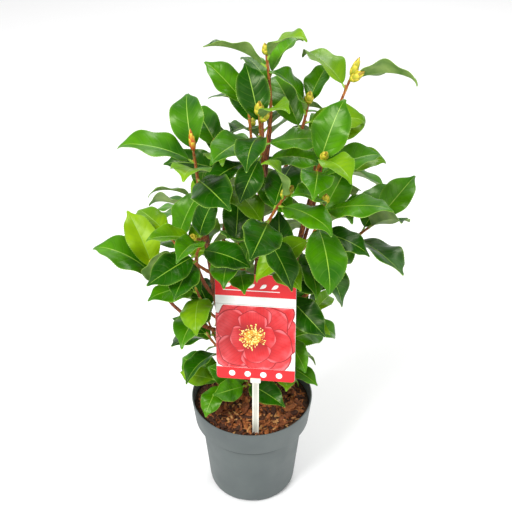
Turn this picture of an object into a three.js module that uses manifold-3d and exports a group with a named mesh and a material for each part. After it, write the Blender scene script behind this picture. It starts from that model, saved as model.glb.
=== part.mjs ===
// A young camellia shrub in a round nursery pot, with a plant label on a stick.
//
// Millimetres, +Z up. The origin is the centre of the pot's flat underside and
// the front of the plant faces -Y. Headings are compass angles seen from above:
// 0 is +X (right), 90 is +Y (back), 180 is left and 270 is the front.
//
// The shrub grows in four steps, each a table of sizes and one function:
//   stems    rise from the soil, each a tapering limb with a flared foot
//   boughs   leave a stem, reach outwards and turn up
//   masses   one leader twig each, on a bough's tip or on a stem, with leaves
//            set round it in a spiral and, on most, a flower bud at its tip
//   leaves   try their own place first, then a few turned or smaller ones, and
//            are left out where none of them is clear of what already grows
import * as THREE from 'three';
import { mergeVertices } from 'three/addons/utils/BufferGeometryUtils.js';
import Module from 'manifold-3d';

const wasm = await Module();
wasm.setup();

// ---------------------------------------------------------------- driving sizes

const GAP = 0.3;                    // between solids that touch in the real plant

const POT = {
  height: 140, rimRadius: 75, bandRadius: 71.5, bandBottom: 106, stepRadius: 64,
  footRadius: 52.5, bodyBottomRadius: 55.5, footRound: 8, footCorner: [1.9, 2.4], wall: 1.5, floor: 5,
  floorEdge: 1, stepSlope: 1, ledge: 2, rimEase: 1, lip: 0.5, sides: 32,
  notches: 6, notchWidth: 23, notchHeight: 3.5, notchDepth: 8, firstNotch: 265,
};
const SOIL_TOP = 128;
// the soil's rounded top edge, the height over the pot's step where it widens, and its lower corner
const SOIL = { shoulder: 58, drop: 3, overStep: [3, 6], corner: [2, 1] };

const LABEL = {
  foot: [4.5, -59, 214], width: 90, height: 132, thick: 0.8, corner: 4,
  yaw: -8, roll: 0.03, lean: 11.4,
};
const STICK = {
  width: 7.5, thick: 1.3, bottom: 102, below: 2, forward: 0.4,
  clipWidth: 12, clipHeight: 6, clipThick: 3.4, grip: 2.5,
};

const FLARE = { height: 20, growth: 0.65 };   // a stem's foot, over this height
const LIMB_SIDES = { stem: 8, bough: 6, twig: 3 };
const LIMB_STEPS = { bough: 6, twig: 3 };
const STEM_STATIONS = [0, 0.02, 0.045, 0.15, 0.3, 0.45, 0.6, 0.75, 0.88, 1];
const UPRIGHT = 0.05;               // up to this share a stem's rings lie level
const SWEEP = { out: 0.6, up: 0.3 };          // a path's middle handle, as shares of its reach and rise
const LEADER = 0.4;                 // the same for a twig that carries on along its limb
const TWIG = { start: 1.7, end: 1.1, facet: 1.25 };

// name, foot x, foot y, heading, lean, height, bow, foot radius, top radius
const STEMS = [
  ['stem_left', -20, 6, 218, 43, 316, 6, 4.6, 2.6],
  ['stem_centre', -3, 17, 332, 25, 372, -5, 4.2, 2.4],
  ['stem_right', 17, 3, 357, 63, 368, -10, 4.2, 2.4],
];
// name, stem, share of the stem's length, heading, reach, rise, radius at its start and tip
const BOUGHS = [
  ['bough_crown', 'stem_centre', 0.78, 20, 40, 62, 2.2, 1.7],
  ['bough_left_back', 'stem_left', 0.5, 75, 46, 138, 2.3, 1.8],
  ['bough_front_high', 'stem_centre', 0.56, 275, 60, 66, 2.3, 1.8],
  ['bough_right_front', 'stem_right', 0.7, 280, 40, 76, 2.2, 1.7],
  ['bough_right_low', 'stem_right', 0.38, 360, 60, 74, 2.4, 1.8],
  ['bough_left_low', 'stem_left', 0.36, 200, 62, 62, 2.4, 1.8],
  ['bough_left_front', 'stem_left', 0.54, 240, 34, 60, 2.3, 1.8],
  ['bough_back_high', 'stem_centre', 0.6, 85, 66, 66, 2.3, 1.8],
  ['bough_back_right', 'stem_right', 0.5, 65, 76, 76, 2.3, 1.8],
  ['bough_back_left', 'stem_left', 0.34, 105, 84, 86, 2.4, 1.8],
  ['bough_heart', 'stem_centre', 0.38, 275, 26, 46, 2.2, 1.7],
];
// name, limb, share of its length, heading, reach, rise, leaves, first leaf's heading, bud
// length, and where they aren't the usual ones: the turn from leaf to leaf, the first leaf's
// spread from the twig and its step from leaf to leaf, the leaves' size, the heading of a
// second bud, and how many of the first leaves look to the back
const MASSES = [
  ['crown_top', 'stem_centre', 1, 185, 4, 76, 10, -15, 13,
    { turn: 188, spread: 40, step: 3, turnedAway: 3 }],
  ['crown_right', 'stem_right', 1, 0, 18, 60, 2, 5, 22,
    { spread: 50, sideBud: 330, size: 1.15, turnedAway: 1 }],
  ['crown_left', 'stem_left', 1, 205, 4, 42, 8, 115, 26, { turn: 72, size: 1.1, step: 3 }],
  ['crown_back', 'bough_crown', 1, 350, 8, 38, 8, 80, 16],
  ['crown_front', 'stem_centre', 0.84, 260, 34, 86, 6, 320, 18, { sideBud: 0 }],
  ['crown_side', 'stem_centre', 0.74, 205, 16, 124, 9, 168, 0],
  ['left_back', 'bough_left_back', 1, 200, 8, 38, 8, 120, 15],
  ['front_high', 'bough_front_high', 1, 325, 26, 56, 9, 190, 15, { sideBud: 110, size: 1.1 }],
  ['right_front', 'bough_right_front', 1, 290, 16, 32, 8, 300, 14, { size: 1.1 }],
  ['right_inner', 'stem_right', 0.6, 290, 66, 100, 9, 205, 14],
  ['right_tip', 'bough_right_low', 1, 355, 42, 50, 5, 40, 12, { turn: 216, spread: 28, size: 1.2 }],
  ['right_mid', 'stem_right', 0.28, 355, 40, 34, 5, 0, 0],
  ['right_low', 'stem_right', 0.22, 330, 24, 46, 4, 330, 0, { size: 0.85 }],
  ['right_foot', 'stem_right', 0.12, 330, 24, 22, 4, 320, 0, { size: 0.75 }],
  ['left_tip', 'bough_left_low', 1, 180, 14, 42, 3, 100, 13,
    { turn: 80, spread: 12, step: 2, size: 1.15 }],
  ['left_high', 'stem_left', 0.8, 245, 24, 12, 2, 180, 13],
  ['left_front', 'bough_left_front', 1, 290, 20, 40, 8, 225, 0],
  ['left_mid', 'stem_left', 0.42, 225, 34, 60, 5, 200, 0],
  ['left_low', 'stem_left', 0.26, 220, 26, 38, 3, 190, 0, { size: 0.9 }],
  ['left_foot', 'stem_left', 0.08, 225, 26, 22, 4, 185, 0, { size: 0.85 }],
  ['front_low', 'bough_heart', 1, 215, 28, 34, 8, 240, 0, { spread: 55 }],
  ['pot_front', 'stem_centre', 0.07, 262, 36, 14, 4, 190, 0, { size: 0.85 }],
  ['back_high', 'bough_back_high', 1, 135, 16, 44, 9, 90, 14, { turnedAway: 9 }],
  ['back_right', 'bough_back_right', 1, 40, 24, 32, 9, 60, 14, { turnedAway: 9 }],
  ['back_left', 'bough_back_left', 1, 145, 30, 32, 9, 120, 14, { turnedAway: 9 }],
  ['back_mid', 'stem_centre', 0.5, 85, 80, 38, 9, 70, 14, { turnedAway: 9 }],
  ['back_low', 'stem_centre', 0.26, 95, 74, 36, 8, 100, 0, { turnedAway: 8 }],
  ['back_right_low', 'stem_right', 0.26, 55, 80, 52, 8, 40, 0, { turnedAway: 8 }],
  ['back_left_low', 'stem_left', 0.18, 120, 62, 40, 8, 150, 0, { turnedAway: 8 }],
  ['back_foot', 'stem_centre', 0.1, 70, 46, 16, 5, 80, 0, { turnedAway: 5 }],
  ['left_outer', 'stem_left', 0.64, 170, 46, 44, 7, 190, 12],
  ['right_outer', 'stem_right', 0.6, 20, 44, 44, 8, 350, 13],
  ['heart_left', 'stem_left', 0.62, 330, 34, 60, 8, 250, 0],
  ['heart_right', 'stem_right', 0.44, 250, 30, 60, 8, 300, 0],
  ['right_high', 'stem_right', 0.84, 40, 22, 40, 5, 30, 13, { size: 0.8 }],
  ['back_upper_left', 'stem_left', 0.7, 105, 46, 60, 8, 80, 13, { turnedAway: 8 }],
  ['back_upper_right', 'stem_right', 0.72, 75, 50, 52, 8, 50, 13, { turnedAway: 8 }],
  ['back_crown', 'stem_centre', 0.86, 95, 42, 50, 8, 110, 13, { turnedAway: 8 }],
];

const SEED = 1000;
const SEED_STEP = 37;               // between one mass's draws and the next one's
const TURN = 144;                   // degrees from a leaf to the next round the twig
const LEAF = {
  length: 70, shortest: 0.86, spread: 0.26, firstSize: 0.8, secondSize: 0.92,
  half: 0.265, halfSpread: 0.045, thick: 1.6, droop: [22, 46], fold: [8, 26], roll: 22,
  stalk: 7, stalkSpread: 3, stalkHalf: 1.2, stalkThick: 1.6, sink: 3, cup: 0.18,
};
const LIGHT = [0, -0.4, 0.92];
const AWAY = [0, 0.5, 0.86];
const FACING = { axis: 0.45, light: 0.9 };      // how a leaf's face turns to its twig's tip and the light
const NODES = { top: 4, gap: 7.6, growth: 0.2, lowest: 0.06, waver: 12 };
const SPREAD = { top: 34, step: 10, most: 84, waver: 8, least: 15, widest: 100 };
const BLADE_STATIONS = [0.28, 0.56, 0.82];
const BUD = {
  girth: 0.24, lean: 0.9, secondAt: 0.95, secondSize: 0.85, sides: 5, rings: [[0.2, 0.85], [0.62, 0.9]], sink: 1,
  posts: [0.2, 0.5, 0.8],
};

// how far a leaf keeps from what already grows
const CLEAR = {
  leaf: 5.6, sameMass: 4.8, stalk: 3, limb: 4.4, stalkToLimb: 2, stalkToLeaf: 5, ownTwig: 2.5, margin: 1,
};
const CROWN = { halfWidth: 186, halfDepth: 160, top: 613, skirtTop: 290, skirtReach: 0.57 };
const ROOM = { soil: 6, rimAbove: 5, rimInside: 10, stick: 9, card: 5, cardSide: 2, cardHeader: 26, below: 60 };
const READING_LINE = [0, 0.8, -0.6];          // the way someone looks at the label
const STATIONS = [0.1, 0.2, 0.3, 0.4, 0.5, 0.6, 0.7, 0.8, 0.9, 1];
const ACROSS = [-0.96, -0.64, -0.32, 0, 0.32, 0.64, 0.96];
const POST_SPACING = 4;
// turn round the twig, tilt off it and size of each place that a leaf tries
const TRIES = [
  [0, 0, 1], [20, 0, 1], [-20, 0, 1], [0, 18, 1], [0, -18, 1], [40, 0, 0.95], [-40, 0, 0.95],
  [20, 18, 0.95], [-20, -18, 0.95], [60, 0, 0.88], [-60, 0, 0.88], [40, -20, 0.88],
  [-40, 20, 0.88], [0, 0, 0.78], [30, 0, 0.78], [-30, 0, 0.78], [80, 10, 0.8], [-80, -10, 0.8],
  [120, 0, 0.8], [-120, 0, 0.8], [0, 0, 0.66], [50, 10, 0.66], [-50, 10, 0.66],
];

const COLOURS = {
  pot: 0x738082, soil: 0x5a3a26, stem: 0x6b4530, bough: 0x7a3f24, leaf: 0x2c7a1c,
  label: 0xd9313f, stick: 0xf1f1ee,
};

// ---------------------------------------------------------------- small tools

const vec = (x, y, z) => new THREE.Vector3(x, y, z);
const UP = vec(0, 0, 1);
const WELD = 1e-4;                  // points nearer than this are one
const NO_DIRECTION = 0.25;          // a projected unit vector shorter than this points nowhere
const rad = THREE.MathUtils.degToRad;
const heading = (degrees) => vec(Math.cos(rad(degrees)), Math.sin(rad(degrees)), 0);
const turned = (v, axis, degrees) => v.clone().applyAxisAngle(axis, rad(degrees));
/** the sum of [vector, share] pairs */
const sum = (...pairs) => pairs.reduce((all, [v, share]) => all.addScaledVector(v, share), vec(0, 0, 0));
/** v less its part along the unit vector axis */
const square = (v, axis) => sum([v, 1], [axis, -v.dot(axis)]);

/** whole-number generator, so that a plant grows the same each time */
class Draw {
  constructor(seed) {
    this.state = seed;
  }
  next() {
    this.state = (this.state * 48271) % 2147483647;
    return this.state / 2147483647;
  }
  about(spread) {
    return (2 * this.next() - 1) * spread;
  }
}

function pointOn([a, b, c], t) {
  return sum([a, (1 - t) ** 2], [b, 2 * t * (1 - t)], [c, t * t]);
}

function slopeOn([a, b, c], t) {
  return sum([b, 1 - t], [a, t - 1], [c, t], [b, -t]).normalize();
}

/** a path that leaves outwards and turns up */
function sweep(start, degrees, reach, rise) {
  const out = heading(degrees);
  return [
    start,
    sum([start, 1], [out, SWEEP.out * reach], [UP, SWEEP.up * rise]),
    sum([start, 1], [out, reach], [UP, rise]),
  ];
}

// ---------------------------------------------------------------- solids

function solidOf(geometry) {
  const bare = geometry.clone();
  bare.deleteAttribute('normal');
  bare.deleteAttribute('uv');
  const merged = mergeVertices(bare, WELD);
  return new wasm.Manifold(new wasm.Mesh({
    numProp: 3,
    vertProperties: new Float32Array(merged.attributes.position.array),
    triVerts: new Uint32Array(merged.index.array),
  }));
}

/** the largest of the closed shells: fills sealed hollows and drops scraps */
function outerShell(solid) {
  return solid.decompose().reduce((best, piece) => (piece.volume() > best.volume() ? piece : best));
}

function geometryOf(solid) {
  const mesh = outerShell(solid).getMesh();
  const geometry = new THREE.BufferGeometry();
  geometry.setAttribute('position', new THREE.BufferAttribute(new Float32Array(mesh.vertProperties), 3));
  geometry.setIndex(new THREE.BufferAttribute(new Uint32Array(mesh.triVerts), 1));
  geometry.computeVertexNormals();
  return geometry;
}

/** closed skin over rings of points; a ring of one point is a tip */
function skin(rings) {
  const points = rings.flat();
  const firsts = [];
  rings.reduce((count, ring) => {
    firsts.push(count);
    return count + ring.length;
  }, 0);
  const faces = [];
  for (let i = 0; i + 1 < rings.length; i += 1) {
    const [low, high] = [rings[i], rings[i + 1]];
    const sides = Math.max(low.length, high.length);
    for (let k = 0; k < sides; k += 1) {
      const next = (k + 1) % sides;
      const at = (ring, from, index) => (ring.length === 1 ? from : from + index);
      const [a, b] = [at(low, firsts[i], k), at(low, firsts[i], next)];
      const [c, d] = [at(high, firsts[i + 1], next), at(high, firsts[i + 1], k)];
      if (a !== b) faces.push(a, b, c);
      if (c !== d) faces.push(a, c, d);
    }
  }
  for (const [ring, first, forward] of [[rings[0], firsts[0], false], [rings.at(-1), firsts.at(-1), true]]) {
    for (let k = 1; k + 1 < ring.length; k += 1) {
      faces.push(first, first + (forward ? k : k + 1), first + (forward ? k + 1 : k));
    }
  }
  return { points, faces: volumeOf(points, faces) > 0 ? faces : faces.toReversed() };
}

function volumeOf(points, faces) {
  let volume = 0;
  for (let i = 0; i < faces.length; i += 3) {
    const [a, b, c] = [points[faces[i]], points[faces[i + 1]], points[faces[i + 2]]];
    volume += a.dot(b.clone().cross(c)) / 6;
  }
  return volume;
}

function solidSkin(rings) {
  const { points, faces } = skin(rings);
  return new wasm.Manifold(new wasm.Mesh({
    numProp: 3,
    vertProperties: new Float32Array(points.flatMap((p) => p.toArray())),
    triVerts: new Uint32Array(faces),
  }));
}

function frameAlong(direction) {
  const side = square(Math.abs(direction.z) < 0.9 ? UP : vec(1, 0, 0), direction).normalize();
  return [side, direction.clone().cross(side)];
}

/** a ring of points round centre, its first one towards across */
function ringAt(centre, across, up, radius, sides) {
  return Array.from({ length: sides }, (_, k) => {
    const angle = (2 * Math.PI * k) / sides;
    return sum([centre, 1], [across, radius * Math.cos(angle)], [up, radius * Math.sin(angle)]);
  });
}

/** a ring square to a path's direction */
function ringAcross(centre, direction, side, radius, sides) {
  const across = square(side, direction).normalize();
  return ringAt(centre, across, direction.clone().cross(across), radius, sides);
}

// ---------------------------------------------------------------- growth

const outline = (s) => Math.max(0, Math.sin(Math.PI * s ** 0.9)) ** 0.72
  * (1 - 0.42 * Math.exp(-(((s - 0.95) / 0.075) ** 2)));

/** the point of a blade at share s of its length and v from edge to edge:
 *  its midrib is an arc that droops, its halves fold up from it */
function leafPoint(leaf, s, v) {
  const bend = leaf.droop;
  const out = (leaf.length * Math.sin(bend * s)) / bend;
  const down = (-leaf.length * (1 - Math.cos(bend * s))) / bend;
  const width = leaf.half * outline(s);
  const normal = leafNormal(leaf, s);
  return sum(
    [leaf.base, 1], [leaf.along, out], [leaf.face, down],
    [leaf.side, v * width * Math.cos(leaf.fold)],
    [normal, width * (Math.abs(v) * Math.sin(leaf.fold) - LEAF.cup * v * v)],
  );
}

function leafNormal(leaf, s) {
  return sum([leaf.along, Math.sin(leaf.droop * s)], [leaf.face, Math.cos(leaf.droop * s)]);
}

function growLimbs() {
  const limbs = new Map();
  for (const [name, x, y, degrees, lean, height, bow, start, end] of STEMS) {
    const foot = vec(x, y, SOIL_TOP);
    const top = sum([foot, 1], [heading(degrees), lean], [UP, height]);
    const middle = sum([foot, 0.5], [top, 0.5], [heading(degrees), bow]);
    limbs.set(name, { name, kind: 'stem', path: [foot, middle, top], start, end });
  }
  for (const [name, on, share, degrees, reach, rise, start, end] of BOUGHS) {
    const path = sweep(pointOn(limbs.get(on).path, share), degrees, reach, rise);
    limbs.set(name, { name, kind: 'bough', on, share, path, start, end });
  }
  return limbs;
}

function growTwig(limbs, [name, on, share, degrees, reach, rise]) {
  const limb = limbs.get(on);
  const start = pointOn(limb.path, share);
  const path = sweep(start, degrees, reach, rise);
  if (share === 1) {                // carries on along its limb
    const forward = slopeOn(limb.path, 1);
    path[0] = sum([start, 1], [forward, GAP]);
    path[1] = sum([start, 1], [forward, LEADER * Math.hypot(reach, rise)]);
  }
  return { name, kind: 'twig', on, share, path, start: TWIG.start, end: TWIG.end };
}

/** the leaves that a twig asks for, from its tip back; tone runs from a young leaf to an old one */
function growLeaves(twig, index, [, , , , , , count, first, , own = {}]) {
  const { turn = TURN, spread: firstSpread = SPREAD.top, step = SPREAD.step } = own;
  const { size: scale = 1, turnedAway = 0 } = own;
  const draw = new Draw(SEED + SEED_STEP * index);
  const length = twig.path[2].distanceTo(twig.path[0]);
  const leaves = [];
  let back = NODES.top;
  for (let k = 0; k < count; k += 1) {
    const share = 1 - back / length;
    if (share < NODES.lowest) break;
    const axis = slopeOn(twig.path, share);
    const around = heading(first + turn * k + draw.about(NODES.waver));
    const spread = Math.min(SPREAD.most, firstSpread + step * k) + draw.about(SPREAD.waver);
    const radial = square(around, axis);
    if (radial.length() < NO_DIRECTION) radial.addScaledVector(square(UP, axis), 1);
    const size = LEAF.shortest + LEAF.spread * draw.next();
    const rank = k === 0 ? LEAF.firstSize : k === 1 ? LEAF.secondSize : 1;
    const blade = LEAF.length * size * rank * scale;
    leaves.push({
      mass: index, root: pointOn(twig.path, share), axis, radial: radial.normalize(), spread,
      light: k < turnedAway ? AWAY : LIGHT,
      length: blade,
      half: blade * (LEAF.half + LEAF.halfSpread * draw.next()),
      droop: rad(LEAF.droop[0] + LEAF.droop[1] * draw.next()),
      fold: rad(LEAF.fold[0] + LEAF.fold[1] * draw.next()),
      roll: draw.about(LEAF.roll),
      stalk: LEAF.stalk + LEAF.stalkSpread * draw.next(),
      tone: draw.next(),
    });
    back += NODES.gap * (1 + NODES.growth * k);
  }
  return leaves;
}

/** the bud on a twig's tip, and a second one beside it where the row gives its heading */
function growBuds(twig, mass, [, , , , , , , , length, own = {}]) {
  if (!length) return [];
  const forward = slopeOn(twig.path, 1);
  const buds = [{ mass, base: twig.path[2], along: forward, length, radius: length * BUD.girth }];
  if (own.sideBud !== undefined) {
    const along = sum([forward, 1], [heading(own.sideBud), BUD.lean]).normalize();
    const second = length * BUD.secondSize;
    buds.push({ mass, base: pointOn(twig.path, BUD.secondAt), along, length: second, radius: second * BUD.girth });
  }
  return buds;
}

/** a leaf set at one of the places it may try */
function pose(leaf, [turn, tilt, scale]) {
  const radial = turned(leaf.radial, leaf.axis, turn).normalize();
  const off = rad(Math.max(SPREAD.least, Math.min(SPREAD.widest, leaf.spread + tilt)));
  const along = sum([leaf.axis, Math.cos(off)], [radial, Math.sin(off)]).normalize();
  let face = square(sum([leaf.axis, FACING.axis], [vec(...leaf.light), FACING.light]), along);
  if (face.length() < NO_DIRECTION) face = square(leaf.axis, along);
  face = turned(face.normalize(), along, leaf.roll);
  const base = sum([leaf.root, 1], [along, leaf.stalk]);
  return {
    ...leaf, along, face, side: face.clone().cross(along), base,
    length: leaf.length * scale, half: leaf.half * scale,
  };
}

const card = cardFrame();

function cardFrame() {
  const right = vec(Math.cos(rad(LABEL.yaw)), Math.sin(rad(LABEL.yaw)), LABEL.roll).normalize();
  const up = square(vec(0, Math.sin(rad(LABEL.lean)), Math.cos(rad(LABEL.lean))), right).normalize();
  return { foot: vec(...LABEL.foot), right, up, out: right.clone().cross(up) };
}

function leavesItsSpace(p) {
  const reach = p.z < CROWN.skirtTop ? CROWN.skirtReach : 1;
  const wide = (p.x / CROWN.halfWidth) ** 2 + (p.y / CROWN.halfDepth) ** 2 > reach ** 2;
  const onRim = p.z < POT.height + ROOM.rimAbove && Math.hypot(p.x, p.y) > POT.rimRadius - ROOM.rimInside;
  const byStick = Math.hypot(p.x - LABEL.foot[0], p.y - LABEL.foot[1]) < ROOM.stick && p.z < LABEL.foot[2];
  return wide || onRim || byStick || p.z > CROWN.top || p.z < SOIL_TOP + ROOM.soil;
}

/** whether a point touches the label, or would hide more of it than its header */
function meetsCard(p) {
  const from = p.clone().sub(card.foot);
  const out = from.dot(card.out);
  const near = Math.abs(out) < ROOM.card && Math.abs(from.dot(card.right)) < LABEL.width / 2 + ROOM.card
    && from.dot(card.up) > -ROOM.card && from.dot(card.up) < LABEL.height + ROOM.card;
  const sight = vec(...READING_LINE);
  const seen = sum([from, 1], [sight, out / -sight.dot(card.out)]);
  const hides = out > 0 && Math.abs(seen.dot(card.right)) < LABEL.width / 2 + ROOM.cardSide
    && seen.dot(card.up) < LABEL.height - ROOM.cardHeader && seen.dot(card.up) > -ROOM.below;
  return near || hides;
}

function gapBetween(points, others) {
  let least = Infinity;
  for (const a of points) {
    for (const b of others) least = Math.min(least, a.distanceToSquared(b));
  }
  return Math.sqrt(least);
}

/** points down the limbs and buds with their radius and the mass that owns them */
function limbPosts(limbs, twigs, buds) {
  const posts = [];
  for (const limb of [...limbs.values(), ...twigs]) {
    const count = Math.ceil(limb.path[2].distanceTo(limb.path[0]) / POST_SPACING);
    for (let i = 0; i <= count; i += 1) {
      const t = i / count;
      const radius = limb.start + (limb.end - limb.start) * t;
      posts.push({ at: pointOn(limb.path, t), radius, mass: twigs.indexOf(limb) });
    }
  }
  for (const bud of buds) {
    for (const share of BUD.posts) {
      posts.push({ at: sum([bud.base, 1], [bud.along, bud.length * share]), radius: bud.radius, mass: bud.mass });
    }
  }
  return posts;
}

function clearOfPosts(leaf, posts) {
  for (const post of posts) {
    const own = post.mass === leaf.mass;
    const room = CLEAR.limb + post.radius - (own ? CLEAR.ownTwig : 0);
    if (post.at.distanceTo(leaf.middle) > leaf.reach + room + CLEAR.margin) continue;
    if (gapBetween(leaf.blade.slice(ACROSS.length), [post.at]) < room) return false;
  }
  return posts.every((post) => post.mass === leaf.mass
    || gapBetween(leaf.stalkPoints, [post.at]) >= CLEAR.stalkToLimb + post.radius);
}

function clearOfLeaf(leaf, other) {
  if (leaf.middle.distanceTo(other.middle) > leaf.reach + other.reach + 2 * CLEAR.leaf) return true;
  const same = leaf.mass === other.mass;
  const near = ACROSS.length;
  if (gapBetween(leaf.blade.slice(near), other.blade) < (same ? CLEAR.sameMass : CLEAR.leaf)) return false;
  if (gapBetween(leaf.blade.slice(0, near), other.blade) < CLEAR.stalk) return false;
  return same || (gapBetween(leaf.stalkPoints, other.blade) >= CLEAR.stalkToLeaf
    && gapBetween(other.stalkPoints, leaf.blade) >= CLEAR.stalkToLeaf);
}

/** the first of a leaf's tries that is clear of the pot, label, limbs and leaves */
function placeLeaf(wish, posts, placed) {
  for (const attempt of TRIES) {
    const leaf = pose(wish, attempt);
    leaf.blade = STATIONS.flatMap((s) => ACROSS.map((v) => leafPoint(leaf, s, v)));
    leaf.stalkPoints = [leaf.base, sum([leaf.base, 0.5], [leaf.root, 0.5])];
    leaf.middle = sum(...leaf.blade.map((p) => [p, 1 / leaf.blade.length]));
    leaf.reach = Math.max(...leaf.blade.map((p) => p.distanceTo(leaf.middle)));
    if (leaf.blade.some((p) => leavesItsSpace(p) || meetsCard(p))) continue;
    if (clearOfPosts(leaf, posts) && placed.every((other) => clearOfLeaf(leaf, other))) return leaf;
  }
  return null;
}

function growPlant() {
  const limbs = growLimbs();
  const twigs = MASSES.map((row) => growTwig(limbs, row));
  const wishes = MASSES.map((row, mass) => growLeaves(twigs[mass], mass, row));
  const buds = MASSES.flatMap((row, mass) => growBuds(twigs[mass], mass, row));
  const posts = limbPosts(limbs, twigs, buds);
  const placed = [];
  for (let k = 0; wishes.some((own) => own.length > k); k += 1) {
    for (const own of wishes) {
      const leaf = own.length > k ? placeLeaf(own[k], posts, placed) : null;
      if (leaf) placed.push(leaf);
    }
  }
  return { limbs, twigs, leaves: placed, buds };
}

// ---------------------------------------------------------------- plant solids

/** a leaf as one closed body: a stalk sunk in its twig and a blade that is
 *  thickest along the midrib and comes to an edge on both sides */
function leafSolid(leaf) {
  const ring = (centre, half, thick, normal) => [
    sum([centre, 1], [leaf.side, -half]), sum([centre, 1], [normal, thick / 2]),
    sum([centre, 1], [leaf.side, half]), sum([centre, 1], [normal, -thick / 2]),
  ];
  const rings = [
    [sum([leaf.root, 1], [leaf.along, -LEAF.sink])],
    ring(leaf.base, LEAF.stalkHalf, LEAF.stalkThick, leaf.face),
  ];
  for (const s of BLADE_STATIONS) {
    const rib = leafPoint(leaf, s, 0);
    const normal = leafNormal(leaf, s);
    rings.push([
      leafPoint(leaf, s, -1), sum([rib, 1], [normal, LEAF.thick / 2]),
      leafPoint(leaf, s, 1), sum([rib, 1], [normal, -LEAF.thick / 2]),
    ]);
  }
  rings.push([leafPoint(leaf, 1, 0)]);
  return solidSkin(rings);
}

/** a bud: rings round its axis, widest in the middle, closed at both ends */
function budSolid(bud) {
  const [side, across] = frameAlong(bud.along);
  const on = (distance) => sum([bud.base, 1], [bud.along, distance]);
  const rings = BUD.rings.map(
    ([share, girth]) => ringAt(on(bud.length * share), side, across, bud.radius * girth, BUD.sides),
  );
  return solidSkin([[on(-BUD.sink)], ...rings, [on(bud.length)]]);
}

function radiusOf(limb, extra = 0) {
  return (t) => {
    const plain = limb.start + (limb.end - limb.start) * t;
    const height = limb.kind === 'stem' ? (limb.path[2].z - limb.path[0].z) * t : Infinity;
    const flare = 1 + FLARE.growth * Math.max(0, 1 - height / FLARE.height) ** 2;
    const facet = limb.kind === 'twig' ? TWIG.facet : 1;
    return plain * flare * facet + extra;
  };
}

/** a stem's rings: level near the soil, then square to its path */
function stemRings(limb, extra = 0) {
  return STEM_STATIONS.map((t) => {
    const direction = t < UPRIGHT ? UP : slopeOn(limb.path, t);
    return ringAcross(pointOn(limb.path, t), direction, vec(1, 0, 0), radiusOf(limb, extra)(t), LIMB_SIDES.stem);
  });
}

function sideRings(limb) {
  const steps = LIMB_STEPS[limb.kind];
  const [side] = frameAlong(slopeOn(limb.path, 0));
  return Array.from({ length: steps + 1 }, (_, i) => {
    const t = i / steps;
    return ringAcross(pointOn(limb.path, t), slopeOn(limb.path, t), side, radiusOf(limb)(t), LIMB_SIDES[limb.kind]);
  });
}

/** a stem stands on the soil on a flat cut, with its foot flared */
function stemSolid(limb) {
  const rings = stemRings(limb);
  for (const point of rings[0]) point.z = SOIL_TOP + GAP;
  return solidSkin(rings);
}

/** a bough or twig, cut off a gap clear of the stem that it grows on */
function sideLimbSolid(limb, parent) {
  const whole = solidSkin(sideRings(limb));
  return limb.share === 1 ? whole : whole.subtract(solidSkin(stemRings(parent, GAP)));
}

// ---------------------------------------------------------------- pot, soil and label

function latheSolid(profile) {
  const points = profile.map(([r, z]) => new THREE.Vector2(r, z));
  return solidOf(new THREE.LatheGeometry(points, POT.sides).rotateX(Math.PI / 2));
}

/** the pot's inner radius at height z */
function innerRadius(z) {
  const share = (z - POT.footRound) / (POT.bandBottom - POT.footRound);
  const body = POT.bodyBottomRadius + (POT.stepRadius - POT.bodyBottomRadius) * Math.min(1, share);
  if (z <= POT.bandBottom) return body - POT.wall;
  const band = (z - POT.bandBottom) / (POT.height - POT.bandBottom);
  return POT.bandRadius + (POT.rimRadius - POT.bandRadius) * band - POT.wall;
}

/** a tapering body, a step out to the deep band under the rim, and a thick
 *  floor whose edge has drain notches */
function potSolid() {
  const ledge = POT.bandBottom + POT.ledge;
  let pot = latheSolid([
    [0, 0], [POT.footRadius, 0], [POT.footRadius + POT.footCorner[0], POT.footCorner[1]],
    [POT.bodyBottomRadius, POT.footRound], [POT.stepRadius, POT.bandBottom - POT.stepSlope],
    [POT.bandRadius, POT.bandBottom], [POT.rimRadius, POT.height - POT.rimEase],
    [POT.rimRadius - POT.lip, POT.height], [innerRadius(POT.height), POT.height],
    [innerRadius(ledge), ledge], [innerRadius(POT.bandBottom), POT.bandBottom],
    [innerRadius(POT.footRound), POT.footRound],
    [POT.footRadius - POT.wall - POT.floorEdge, POT.floor], [0, POT.floor],
  ]);
  for (let i = 0; i < POT.notches; i += 1) {
    const notch = new THREE.BoxGeometry(2 * POT.notchDepth, POT.notchWidth, 2 * POT.notchHeight);
    notch.translate(POT.footRadius + POT.footCorner[0], 0, 0);
    notch.rotateZ(rad(POT.firstNotch + (360 / POT.notches) * i));
    pot = pot.subtract(solidOf(notch));
  }
  return pot;
}

/** the root ball and soil that fill the pot, open where the label's stick stands */
function soilSolid() {
  const edge = SOIL_TOP - SOIL.drop;
  const [step, overStep] = SOIL.overStep.map((height) => POT.bandBottom + height);
  const radius = (z) => innerRadius(z) - 2 * GAP;
  const soil = latheSolid([
    [0, POT.floor + GAP], [POT.footRadius - POT.wall - SOIL.corner[0], POT.floor + GAP],
    [radius(POT.footRound), POT.footRound + SOIL.corner[1]], [radius(POT.bandBottom), POT.bandBottom],
    [radius(POT.bandBottom), step], [radius(overStep), overStep],
    [radius(edge), edge], [SOIL.shoulder, SOIL_TOP], [0, SOIL_TOP],
  ]);
  return soil.subtract(stickBar(GAP));
}

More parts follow.
